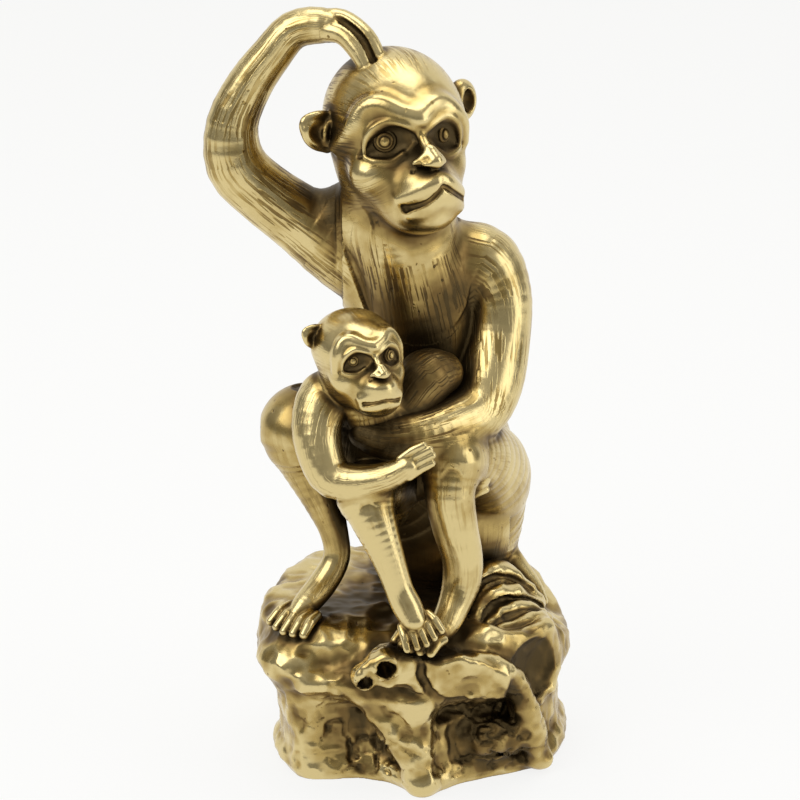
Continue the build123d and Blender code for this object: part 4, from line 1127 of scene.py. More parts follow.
def young_forms() -> list[Form]:
    """The young one, from its trunk out to its toes."""
    return [
        Strand(
            blend=0.8, node="young_trunk", press=(1.0, 1.05, 1.0),
            stations=(
                (-10.6, -13.0, 62.0, 7.6), (-10.9, -14.0, 66.3, 9.0), (-11.9, -17.0, 75.5, 9.6),
                (-11.6, -19.0, 84.3, 8.4), (-13.4, -22.0, 91.0, 6.4),
            ),
        ),
        Cluster(blend=0.8, node="young_head", forms=YOUNG_FACE.forms(), fur=0.6, **vars(YOUNG_HEAD)),
        Cluster(
            blend=0.5, node="young_right_ear", forms=ear_forms(Side.RIGHT), fur=0.0,
            **vars(replace(YOUNG_HEAD, middle=(-14.8, -23.9, 103.2))),
        ),
        Strand(
            blend=0.5, root_blend=3.5, root_reach=8.0, steps=3, node="young_right_upper_arm", fur=0.5,
            parts=(("young_right_upper_arm", 0.0), ("young_right_forearm", 0.51)),
            stations=(
                (-17.0, -20.5, 89.0, 6.0), (-21.4, -23.8, 89.8, 5.8), (-23.2, -26.8, 84.4, 5.4),
                (-22.2, -29.8, 78.6, 4.9), (-19.6, -32.0, 74.6, 4.5), (-14.0, -34.2, 74.4, 3.7),
                (-8.0, -35.8, 76.2, 3.1), (-3.8, -36.6, 78.7, 2.6),
            ),
        ),
        *digits("young_right_forearm", (-4.4, -37.2, 78.6), (1.2, -37.2, 82.2), (1.8, -0.6, -3.8), 4, 0.95, 0.3, 1.0),
        Strand(
            blend=0.6, root_blend=2.5, root_reach=6.0, node="young_left_arm",
            stations=((-6.0, -18.5, 84.0, 5.4), (-3.2, -17.4, 87.6, 6.0), (0.2, -15.4, 91.6, 6.2),
                      (3.6, -12.6, 91.8, 4.8)),
        ),
        Strand(
            blend=0.5, root_blend=3.0, root_reach=6.0, node="young_right_thigh", fur=0.3,
            stations=((-9.8, -20.0, 69.7, 7.2), (-11.8, -26.0, 70.4, 6.4), (-12.9, -31.0, 70.0, 5.6)),
        ),
        Strand(
            blend=0.4, root_blend=3.0, root_reach=7.0, node="young_right_shin", fur=0.25,
            parts=(("young_right_shin", 0.0), ("young_right_foot", 0.70)),
            stations=(
                (-12.6, -31.4, 70.0, 5.6), (-11.2, -33.6, 66.0, 4.9), (-8.9, -35.0, 60.2, 3.9),
                (-6.9, -35.8, 54.6, 3.3), (-5.5, -36.2, 50.4, 3.1), (-3.9, -37.2, 47.2, 3.2),
                (-2.4, -38.8, 44.6, 2.8),
            ),
        ),
        *digits("young_right_foot", (-2.4, -38.6, 44.6), (0.2, -41.6, 40.4), (5.4, 1.4, 2.6), 5, 0.95, 0.5, 1.35),
        Strand(
            blend=0.6, root_blend=2.5, root_reach=6.0, node="young_left_leg", fur=0.5,
            stations=((-6.0, -14.5, 67.5, 6.0), (1.2, -15.2, 69.0, 4.6), (7.6, -15.6, 69.0, 4.0),
                      (11.0, -14.8, 68.6, 3.6)),
        ),
        *digits("young_left_leg", (9.6, -17.0, 69.0), (13.6, -15.6, 70.4), (0.8, 0.4, -8.4), 5, 1.05, 0.2, 1.0),
    ]


def patch(places: np.ndarray, middle: Place, reach: float) -> Field:
    """A soft patch round a middle: e to the minus square of the distance over the reach."""
    return np.exp(-((places - np.array(middle)) ** 2).sum(1) / reach**2)


@dataclass
class Skin:
    """A casting's whole surface, before it is parted into pieces.

    Each array has one row for each vertex: its place and normal, the form that it lies nearest to, its place along and
    across the hair, how much hair there is, how dark it is painted, partly as patina and partly as painted shade in
    recesses, on undersides and in patches, and how far it stands proud.
    """

    vertices: np.ndarray
    faces: np.ndarray
    normals: np.ndarray
    owner: np.ndarray
    grain: np.ndarray
    fur: np.ndarray
    patina_and_shade: np.ndarray
    proud: np.ndarray


@dataclass
class Casting:
    """Forms that are cast together, and the grid that their surface is found on.

    Slot names a material slot, which the pieces do not use. Relief is how rough the
    casting is, sunk is how deep the pieces' ends lie in the metal, and underside is how much darker a place that faces
    down is painted, partly as unrubbed patina and partly as painted shade. Near is how far off a form may own a place,
    wall is how close to a form that cuts metal away its own wall is, and parting is how far off the next node's form
    leaves the hair whole. Dark is a row of patches of painted shade, where shade falls: a middle, a reach and how much
    darker each is painted.
    The roughness is lumps and crags of noise, each of a size in millimetres and a strength, and
    level is how far it is set back.
    """

    title: str
    slot: str
    forms: list[Form]
    step: float
    levels: int = 3
    relief: float = 0.0
    sunk: float = 0.6
    underside_patina_and_shade: float = 0.10
    near: float = 5.0
    wall: float = 0.5
    parting: float = 3.0
    least_fur: float = 0.25
    lumps: tuple[float, float] = (7.0, 0.8)
    crags: tuple[float, float] = (5.0, 0.55)
    level: float = 0.35
    dark: tuple[tuple[Place, float, float], ...] = ()

    def __post_init__(self) -> None:
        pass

    def surface(self) -> tuple[np.ndarray, np.ndarray]:
        """The net over the forms, eased so that its faces are even, with each vertex on the surface.

        After the easing, and once more, each vertex moves down the slope by its distance over the
        slope's square, which lands it on the zero level.

        Returns:
            The vertices, and the faces as rows of four vertex numbers.
        """
        lows, highs = zip(*(form.reach() for form in self.forms if form.act is Act.ADD))
        low, high = np.min(lows, 0) - 2 * self.step, np.max(highs, 0) + 2 * self.step
        values = sampled(self.forms, low, high, self.step, self.levels)
        vertices, faces = net_over(values, low, self.step)
        vertices = (vertices + neighbour_mean(vertices, faces)) / 2
        for _ in range(2):
            value, slope = slope_of(self.forms, vertices, LANDING_REACH)
            steepness = np.maximum((slope * slope).sum(1), LEAST_SLOPE**2)
            move = np.clip(value / steepness, -self.step, self.step)
            vertices = vertices - slope * move[:, None]
        return vertices, faces

    def owners(self, places: np.ndarray) -> tuple[list[str], np.ndarray, np.ndarray, np.ndarray, np.ndarray]:
        """Which node each place belongs to, and its hair.

        A hollow that names a node gives that node its own wall; any other place goes to the form
        whose distance is the lowest. Hair fades where the next node's form is nearly as close.

        Args:
            places: Places on the surface.

        Returns:
            The nodes' names, then for each place its node's number, its place along and across the
            hair, how much hair there is, and which way it runs.
        """
        names: list[str] = []
        best, runner_up = np.full(len(places), FAR), np.full(len(places), FAR)
        owner = np.zeros(len(places), np.int32)
        family = np.full(len(places), -1)
        grain, heading = np.zeros((len(places), 3)), np.zeros((len(places), 3))
        fur = np.zeros(len(places))
        for form in self.forms:
            if not form.node:
                continue
            rows = form.near(places, self.near)
            if not len(rows):
                continue
            found = form.distance(places[rows])
            if form.act is Act.CUT:
                found = np.where(np.abs(found) < self.wall, -FAR, FAR)
            parts = getattr(form, "parts", ()) or ((form.node, 0.0),)
            for name, _ in parts:
                if name not in names:
                    names.append(name)
            number = names.index(parts[0][0])
            better = found < best[rows]
            second = np.where(better, best[rows], np.minimum(runner_up[rows], found))
            runner_up[rows] = np.where(family[rows] != number, second, runner_up[rows])
            rows = rows[better]
            best[rows] = found[better]
            family[rows] = owner[rows] = number
            if len(parts) > 1:
                _, at = form.nearest(places[rows])
                for name, begins in parts[1:]:
                    owner[rows[at > begins * form.along[-1]]] = names.index(name)
            grain[rows] = form.grain(places[rows])
            heading[rows] = form.heading(places[rows])
            fur[rows] = form.fur
        fur *= np.clip((runner_up - best) / self.parting, self.least_fur, 1.0)
        return names, owner, grain, fur, heading

    def cast(self, whole: "Surroundings") -> dict[str, "Section"]:
        """The casting's sections, by the node that each stands for.

        Hair fades where it would run into the metal rather than along it.

        Args:
            whole: Distances to the whole figurine.

        Returns:
            A closed section for each node's name.
        """
        vertices, faces = self.surface()
        log.info("%s: %d vertices", self.title, len(vertices))
        names, owner, grain, fur, heading = self.owners(vertices)
        normals = normals_of(vertices, faces)
        into_metal = np.abs((normals * heading).sum(1))
        fur = fur * self.hair(vertices) * np.clip(HAIR_KEPT - HAIR_LOST * into_metal, 0.0, 1.0)
        if self.relief:
            vertices = vertices + normals * self.rough(vertices)[:, None]
            normals = normals_of(vertices, faces)
        # How dark each place is painted: by how closed in it lies, partly as patina and partly as painted shade, plus
        # the patches of painted shade.
        patina_and_shade = whole.hollows(vertices, normals) + self.painted_shade(vertices)
        # Places that face down are painted darker, partly as unrubbed patina and partly as painted shade.
        patina_and_shade += self.underside_patina_and_shade * np.clip(-normals[:, 2], 0.0, 1.0)
        proud = bulge(vertices, faces, normals, self.step)
        skin = Skin(vertices, faces, normals, owner, grain, fur, patina_and_shade, proud)
        return {name: section_of(skin, number, self.forms, self.sunk) for number, name in enumerate(names)}

    def hair(self, places: np.ndarray) -> Field:
        """How much of the hair shows at each place: all of it, unless a class says otherwise."""
        return np.ones(len(places))

    def painted_shade(self, places: np.ndarray) -> Field:
        """Painted shade: how much darker each place is painted, in patches where shade falls, than its shape makes it.
        """
        total = np.zeros(len(places))
        for middle, reach, strength in self.dark:
            total += strength * patch(places, middle, reach)
        return total

    def rough(self, places: np.ndarray) -> Field:
        """How far the cast surface stands out at each place: lumps and sharp crests of noise."""
        (lump_size, lump_rise), (crag_size, crag_rise) = self.lumps, self.crags
        lumps = noise(places / lump_size, 3) * lump_rise
        crags = 1.0 - 2.0 * np.abs(noise(places / crag_size + CRAG_SHIFT, 2))
        return self.relief * foot_fade(places) * (lumps + crag_rise * np.clip(crags, -1.0, 1.0) - self.level)


@dataclass
class Surroundings:
    """Distances to the whole figurine on a coarse grid, to tell how deep a place lies in it.

    Outs are the steps out along the normal at which it is felt for, and how much each counts.
    """

    forms: list[Form]
    step: float = 1.0
    low: Place = (-52.0, -46.0, -4.0)
    high: Place = (44.0, 44.0, 180.0)
    margin: float = 9.0
    most: float = 12.0
    outs: tuple[tuple[float, float], ...] = ((1.6, 0.34), (3.2, 0.28), (5.5, 0.22), (8.5, 0.16))

    def __post_init__(self) -> None:
        """Fills the grid."""
        counts = [int((b - a) / self.step) + 1 for a, b in zip(self.low, self.high)]
        axes = [self.low[axis] + np.arange(counts[axis]) * self.step for axis in range(3)]
        places = np.stack(np.meshgrid(*axes, indexing="ij"), -1).reshape(-1, 3)
        self.values = np.minimum(joined(self.forms, places, self.margin), self.most).reshape(counts)

    def at(self, places: np.ndarray) -> Field:
        """Distances at places, each the mean of its cell's eight corners by nearness.

        Args:
            places: Any places.

        Returns:
            The distances, at most the greatest that the grid holds.
        """
        scaled = (places - np.array(self.low)) / self.step
        scaled = np.clip(scaled, 0.0, np.array(self.values.shape) - 1.001)
        cell = scaled.astype(int)
        share = scaled - cell
        total = np.zeros(len(places))
        for corner in CUBE:
            weight = np.prod(np.where(corner, share, 1 - share), axis=1)
            total += weight * self.values[tuple((cell + corner).T)]
        return total

    def hollows(self, places: np.ndarray, normals: np.ndarray) -> Field:
        """How closed in each place is, from 0 to 1.

        It is the weighted sum, at each step out, of the share by which the distance falls short.

        Args:
            places: Places on the surface.
            normals: The surface's normal at each.

        Returns:
            The shares.
        """
        total = np.zeros(len(places))
        for out, weight in self.outs:
            total += weight * np.clip((out - self.at(places + normals * out)) / out, 0.0, 1.0)
        return total


def bulge(vertices: np.ndarray, faces: np.ndarray, normals: np.ndarray, step: float) -> Field:
    """How sharply the surface bends at each vertex: above 0 on ridges and below 0 in grooves.

    The fall of the neighbours' mean below the vertex, along its normal, over the step squared, and
    spread over the neighbours.

    Args:
        vertices: The net's vertices.
        faces: Its faces.
        normals: The normal at each vertex.
        step: The grid's spacing.

    Returns:
        The bend at each vertex.
    """
    fall = ((vertices - neighbour_mean(vertices, faces)) * normals).sum(1) / step**2
    for _ in range(BULGE_SPREADS):
        fall = neighbour_mean(np.repeat(fall[:, None], 3, 1), faces)[:, 0]
    return fall


@dataclass
class Section:
    """One piece's closed mesh, with its normals and its values for the finish."""

    vertices: np.ndarray
    quads: np.ndarray
    triangles: np.ndarray
    normals: np.ndarray
    grain: np.ndarray
    values: np.ndarray


def section_of(skin: Skin, number: int, forms: list[Form], sunk: float) -> Section:
    """The part of a skin that one node owns, closed where it meets its neighbours.

    Each open edge gets a face that goes into the metal, and then a triangle to the middle of the
    opening that the edge belongs to, so the ends lie inside the neighbours. A middle that would
    lie in the air, as in front of a bowl, is moved down the distance's slope into the metal.

    Args:
        skin: The whole surface.
        number: The node's number in it.
        forms: The casting's forms.
        sunk: How deep in the metal each middle has to be, in millimetres.

    Returns:
        The closed section.
    """
    owned = skin.faces[skin.owner[skin.faces[:, 0]] == number]
    used, local = np.unique(owned, return_inverse=True)
    quads = local.reshape(owned.shape)
    vertices = skin.vertices[used]
    starts = quads.reshape(-1)
    ends = np.roll(quads, -1, axis=1).reshape(-1)
    size = len(used)
    forward, backward = starts.astype(np.int64) * size + ends, ends.astype(np.int64) * size + starts
    open_edge = ~np.isin(forward, backward)
    starts, ends = starts[open_edge], ends[open_edge]
    normals, grain = skin.normals[used], skin.grain[used]
    values = np.stack([skin.fur[used], skin.patina_and_shade[used], skin.proud[used]], 1)
    if not len(starts):
        return Section(vertices, quads, np.zeros((0, 3), int), normals, grain, values)
    rim = np.unique(starts)
    place = np.full(size, -1)
    place[rim] = np.arange(len(rim))
    first, second = place[starts], place[ends]
    # Each rim vertex takes the lowest number that it can reach along the open edges, one for each opening.
    group = np.arange(len(rim))
    for _ in range(len(rim)):
        lowest = group.copy()
        np.minimum.at(lowest, first, group[second])
        np.minimum.at(lowest, second, group[first])
        lowest = lowest[lowest]
        if (lowest == group).all():
            break
        group = lowest
    heads, group = np.unique(group, return_inverse=True)
    inner = vertices[rim] - normals[rim] * SEAM_WALL
    counts = np.bincount(group)[:, None]
    centres = np.stack([np.bincount(group, inner[:, axis]) for axis in range(3)], 1) / counts
    away = np.stack([np.bincount(group, normals[rim][:, axis]) for axis in range(3)], 1) / counts
    centres = centres - away * SEAM_DROP
    for _ in range(CAP_MOVES):
        value, slope = slope_of(forms, centres, CAP_REACH)
        steepness = np.linalg.norm(slope, axis=1) + 1e-6
        depth = np.where(value > -sunk, value + sunk + CAP_SPARE, 0.0)
        centres = centres - slope * (depth / steepness)[:, None]
    inner_number = size + place
    centre_number = size + len(rim) + group
    walls = np.stack([ends, starts, inner_number[starts], inner_number[ends]], 1)
    fans = np.stack([inner_number[ends], inner_number[starts], centre_number[first]], 1)
    extra = len(rim) + len(heads)
    fill = np.zeros((extra, 3))
    fill[:, 1] = 1.0
    return Section(
        np.vstack([vertices, inner, centres]),
        np.vstack([quads, walls]),
        fans,
        np.vstack([normals, normals[rim], np.tile((0.0, 0.0, 1.0), (len(heads), 1))]),
        np.vstack([grain, grain[rim], np.zeros((len(heads), 3))]),
        np.vstack([values, fill]),
    )


def mesh_of(name: str, section: Section) -> bpy.types.Object:
    """Puts a section into a Blender object at the origin, in metres.

    Args:
        name: The object's name.
        section: The closed mesh and its values.

    Returns:
        The object, with the attributes hair_place, fur, hollow and proud; the third holds how dark patina and painted
        shade make each place.
    """
    mesh = bpy.data.meshes.new(name)
    quads, triangles = section.quads, section.triangles
    mesh.vertices.add(len(section.vertices))
    mesh.vertices.foreach_set("co", (section.vertices * METRE).astype(np.float32).ravel())
    corners = np.concatenate([quads.ravel(), triangles.ravel()]).astype(np.int32)
    sizes = np.concatenate([np.full(len(quads), 4), np.full(len(triangles), 3)]).astype(np.int32)
    mesh.loops.add(len(corners))
    mesh.loops.foreach_set("vertex_index", corners)
    mesh.polygons.add(len(sizes))
    mesh.polygons.foreach_set("loop_start", np.concatenate([[0], np.cumsum(sizes)[:-1]]).astype(np.int32))
    mesh.polygons.foreach_set("loop_total", sizes)
    mesh.update(calc_edges=True)
    mesh.polygons.foreach_set("use_smooth", np.ones(len(sizes), bool))
    mesh.normals_split_custom_set_from_vertices(section.normals.astype(np.float32))
    place = mesh.attributes.new("hair_place", "FLOAT_VECTOR", "POINT")
    place.data.foreach_set("vector", section.grain.astype(np.float32).ravel())
    for column, title in enumerate(("fur", "patina_and_shade", "proud")):
        values = mesh.attributes.new(title, "FLOAT", "POINT")
        values.data.foreach_set("value", section.values[:, column].astype(np.float32))
    thing = bpy.data.objects.new(name, mesh)
    bpy.context.scene.collection.objects.link(thing)
    return thing


def linear(code: str) -> tuple[float, float, float, float]:
    """An sRGB hex colour as linear light, by the standard's power curve with its straight toe."""
    shares = [int(code[place : place + 2], 16) / 255.0 for place in (1, 3, 5)]
    return (*(s / 12.92 if s <= 0.04045 else ((s + 0.055) / 1.055) ** 2.4 for s in shares), 1.0)


def add_node(
    tree: bpy.types.NodeTree,
    kind: str,
    settings: dict[str, object] | None = None,
    links: dict[str | int, bpy.types.NodeSocket | float | tuple] | None = None,
) -> bpy.types.Node:
    """Adds a node to a tree.

    Args:
        tree: The material's or world's node tree.
        kind: The node's type name.
        settings: Its properties.
        links: For each input, the output that feeds it or the value that it holds.

    Returns:
        The node.
    """
    node = tree.nodes.new(kind)
    for name, value in (settings or {}).items():
        setattr(node, name, value)
    for name, value in (links or {}).items():
        if isinstance(value, bpy.types.NodeSocket):
            tree.links.new(value, node.inputs[name])
        else:
            node.inputs[name].default_value = value
    return node


@dataclass(frozen=True)
class AntiqueBrass:
    """Cast brass, darkened with liver of sulphur and then rubbed back on its high places.

    Rubbing leaves the proud metal bright and smooth, and brown sulphide stays in the hollows, in the engraved hair and
    round the casting's pits, where it is duller. The darkening in hollows is partly that sulphide and partly painted
    shade, and listed patches, undersides and eye sockets are painted darker as shade. The strokes of hair are drawn
    about twice as coarse as a graver's, so that they show. Each size in millimetres is that of a pattern: tufts of
    hair, blotches and clouds of patina, the mould's grit, pits and dents.
    """

    title: str
    bright: str = "#D9C58D"
    worn: str = "#B49B5F"
    brown: str = "#755E37"
    black: str = "#53452C"
    smooth: float = 0.24
    dull: float = 0.46
    stroke_length_mm: float = 7.0
    stroke_spacing_mm: float = 0.42
    stroke_depth_mm: float = 0.07
    pit_depth_mm: float = 0.10
    dent_depth_mm: float = 0.05
    grit_depth_mm: float = 0.012
    tuft_mm: float = 8.3333
    blotch_mm: float = 7.1429
    cloud_mm: float = 22.2222
    grit_mm: float = 0.66667
    pit_mm: float = 1.6129
    dent_mm: float = 3.125
    breakup: float = 0.55

    def strokes(self, tree: bpy.types.NodeTree, tufts: bpy.types.NodeSocket) -> bpy.types.NodeSocket:
        """Engraved hair: long thin cells of noise, in a coarse layer and a fine one.

        A stroke is where noise that is stretched along the hair falls below a level. The darker of
        the two layers is kept, and it is scaled by how much hair there is and by the tufts.

        Args:
            tree: The material's node tree.
            tufts: How strongly the hair shows in each patch.

        Returns:
            The strokes, from 0 between them to 1 in them.
        """
        hair = add_node(tree, "ShaderNodeAttribute", {"attribute_name": "hair_place"}).outputs["Vector"]
        fur = add_node(tree, "ShaderNodeAttribute", {"attribute_name": "fur"}).outputs["Fac"]
        layers = []
        for longer, wider in ((1.3, 1.7), (1.0, 1.0)):
            along, across = 1.0 / (self.stroke_length_mm * longer), 1.0 / (self.stroke_spacing_mm * wider)
            stretched = add_node(
                tree, "ShaderNodeMapping", {}, {"Vector": hair, "Scale": (along, across, across)}
            ).outputs[0]
            cells = add_node(
                tree, "ShaderNodeTexNoise", {},
                {"Vector": stretched, "Scale": 1.0, "Detail": 0.0, "Roughness": self.breakup},
            ).outputs["Fac"]
            layers.append(add_node(
                tree, "ShaderNodeMapRange", {"interpolation_type": "SMOOTHSTEP"},
                {"Value": cells, "From Min": 0.33, "From Max": 0.42, "To Min": 1.0, "To Max": 0.0},
            ).outputs[0])
        coarse, made = layers
        for operation, value in (("MULTIPLY", 0.85), ("MAXIMUM", coarse), ("MULTIPLY", fur), ("MULTIPLY", tufts)):
            made = add_node(tree, "ShaderNodeMath", {"operation": operation}, {0: made, 1: value}).outputs[0]
        return made

    def material(self) -> bpy.types.Material:
        """The finished material, with its colour, roughness and bump.

        How dark the metal is, and how far it stands out, are each a sum of patterns times strengths.

        Returns:
            The material.
        """
        made = bpy.data.materials.new(self.title)
        made.use_nodes = True
        tree = made.node_tree
        tree.nodes.clear()
        place = add_node(tree, "ShaderNodeTexCoord").outputs["Object"]
        patina_and_shade, proud = (
            add_node(tree, "ShaderNodeAttribute", {"attribute_name": title}).outputs["Fac"]
            for title in ("patina_and_shade", "proud")
        )
        tufts, blotch, cloud, grit, specks, dents = (
            add_node(
                tree, "ShaderNodeTexNoise", {},
                {"Vector": place, "Scale": 1.0 / (size * METRE), "Detail": detail, "Roughness": self.breakup},
            ).outputs["Fac"]
            for size, detail in (
                (self.tuft_mm, 1.0), (self.blotch_mm, 3.0), (self.cloud_mm, 2.0), (self.grit_mm, 2.0),
                (self.pit_mm, 1.0), (self.dent_mm, 2.0),
            )
        )
        tufts, specks, dross = (
            add_node(
                tree, "ShaderNodeMapRange", {"interpolation_type": "SMOOTHSTEP"},
                {"Value": value, "From Min": low, "From Max": high, "To Min": least, "To Max": 1.0},
            ).outputs[0]
            for value, low, high, least in (
                (tufts, 0.36, 0.60, 0.25), (specks, 0.70, 0.80, 0.0), (cloud, 0.45, 0.65, 0.0),
            )
        )
        pits = add_node(tree, "ShaderNodeMath", {"operation": "MULTIPLY"}, {0: specks, 1: dross}).outputs[0]
        strokes = self.strokes(tree, tufts)

        # Noise has its mean at a half, so half of what the blotches and clouds add is taken off again.
        blotchy, cloudy = 0.75, 0.7
        dark = -0.04 - (blotchy + cloudy) / 2
        # The first value darkens the metal partly as patina and partly as painted shade in recesses, on undersides and
        # in patches; proud places are rubbed brighter.
        for value, strength in (
            (patina_and_shade, 1.75), (proud, -0.6), (blotch, blotchy), (cloud, cloudy), (strokes, 0.46), (pits, 0.5)
        ):
            dark = add_node(
                tree, "ShaderNodeMath", {"operation": "MULTIPLY_ADD"}, {0: value, 1: strength, 2: dark}
            ).outputs[0]
        height = 0.0
        for value, rise in (
            (strokes, -self.stroke_depth_mm), (grit, self.grit_depth_mm), (pits, -self.pit_depth_mm),
            (dents, self.dent_depth_mm),
        ):
            height = add_node(
                tree, "ShaderNodeMath", {"operation": "MULTIPLY_ADD"}, {0: value, 1: rise, 2: height}
            ).outputs[0]

        ramp = add_node(tree, "ShaderNodeValToRGB", {}, {"Fac": dark})
        stops = ((0.0, self.bright), (0.26, self.worn), (0.62, self.brown), (1.0, self.black))
        elements = ramp.color_ramp.elements
        while len(elements) < len(stops):
            elements.new(0.5)
        for element, (spot, colour) in zip(elements, stops):
            element.position = spot
            element.color = linear(colour)
        bump = add_node(tree, "ShaderNodeBump", {}, {"Height": height, "Distance": METRE, "Strength": 1.0})
        rough = add_node(
            tree, "ShaderNodeMapRange", {"interpolation_type": "SMOOTHSTEP"},
            {"Value": dark, "From Min": 0.1, "From Max": 0.9, "To Min": self.smooth, "To Max": self.dull},
        )
        shader = add_node(
            tree, "ShaderNodeBsdfPrincipled", {},
            {
                "Base Color": ramp.outputs["Color"], "Metallic": 1.0, "Roughness": rough.outputs[0],
                "Normal": bump.outputs["Normal"],
            },
        )
        add_node(tree, "ShaderNodeOutputMaterial", {}, {"Surface": shader.outputs[0]})
        return made


@dataclass
class RingedEye:
    """An eye turned as a ball with two rings cut round its pupil.

    A ring is its angle from the pupil's middle and half its width, in radians, and its depth as a share of the ball's
    radius. The pupil is its height as such a share and how wide it is. Dark is how dark the ball is left and how much
    darker it is painted for each radius of depth, partly as patina and partly as painted shade. Lid is the angle past
    which it is painted darker as shade under the lids, how fast, and how much at most.
    """

    title: str
    middle: np.ndarray
    forward: np.ndarray
    radius: float
    around: int = 72
    across: int = 90
    rings: tuple[Place, ...] = ((0.44, 0.10, 0.10), (0.80, 0.12, 0.09))
    pupil: tuple[float, float] = (0.07, 0.30)
    dark: tuple[float, float] = (0.12, 3.0)
    lid: Place = (0.85, 3.0, 0.8)

    def mesh(self) -> Section:
        """The ball: at each angle from the pupil its radius falls by the rings' depths.

        A ring is the radius less its depth times the square of the cosine across its width, and
        the pupil adds its height times e to the minus square of the angle over its width.

        Returns:
            The ball, painted darker in its rings, partly as patina and partly as painted shade, and with painted shade
            past the lids' angle.
        """
        around = self.around
        angle = np.linspace(0.0, math.pi, self.across)[1:-1]
        turn = np.linspace(0.0, math.tau, around, endpoint=False)
        reach = np.full_like(angle, self.radius)
        for centre, half, depth in self.rings:
            near = np.clip((angle - centre) / half, -1.0, 1.0)
            reach = reach - self.radius * depth * np.cos(near * math.pi / 2) ** 2
        rise, spread = self.pupil
        reach = reach + self.radius * rise * np.exp(-((angle / spread) ** 2))
        top = self.radius * (1.0 + rise)
        forward = self.forward / np.linalg.norm(self.forward)
        side = np.cross(forward, (0.0, 0.0, 1.0))
        side /= np.linalg.norm(side)
        up = np.cross(side, forward)
        ring = np.cos(turn)[:, None] * side + np.sin(turn)[:, None] * up
        rows = (np.cos(angle) * reach)[:, None, None] * forward + (np.sin(angle) * reach)[:, None, None] * ring
        ends = np.stack([forward * top, -forward * self.radius])
        vertices = np.vstack([rows.reshape(-1, 3), ends]) + self.middle
        index = np.arange(len(angle) * around).reshape(len(angle), around)
        right = np.roll(index, -1, axis=1)
        quads = np.stack([index[:-1], right[:-1], right[1:], index[1:]], -1).reshape(-1, 4)[:, ::-1]
        first, last = len(angle) * around, len(angle) * around + 1
        caps = np.vstack([
            np.stack([np.full(around, first), index[0], right[0]], 1)[:, ::-1],
            np.stack([np.full(around, last), right[-1], index[-1]], 1)[:, ::-1],
        ])
        normals = vertices - self.middle
        corners = vertices[quads]
        crossed = np.cross(corners[:, 2] - corners[:, 0], corners[:, 3] - corners[:, 1])
        total = summed(quads, crossed, len(vertices))
        if (total * normals).sum() < 0:
            quads, caps, total = quads[:, ::-1], caps[:, ::-1], -total
        total[-2:] = normals[-2:]
        normals = total / (np.linalg.norm(total, axis=1, keepdims=True) + TINY)
        values = np.zeros((len(vertices), 3))
        # The rings are painted darker the deeper they are, partly as patina and partly as painted shade.
        depth = np.concatenate([np.repeat((top - reach) / self.radius, around), [0.0, 1.0]])
        lid, fade, most = self.lid
        # Painted shade: past the lid's angle the ball is painted darker, as the lids would shade it.
        past = np.concatenate([np.repeat(np.clip((angle - lid) * fade, 0.0, most), around), [0.0, most]])
        values[:, 1] = np.clip(self.dark[0] + depth * self.dark[1] + past, 0.0, 1.0)
        return Section(vertices, quads, caps, normals, np.zeros((len(vertices), 3)), values)


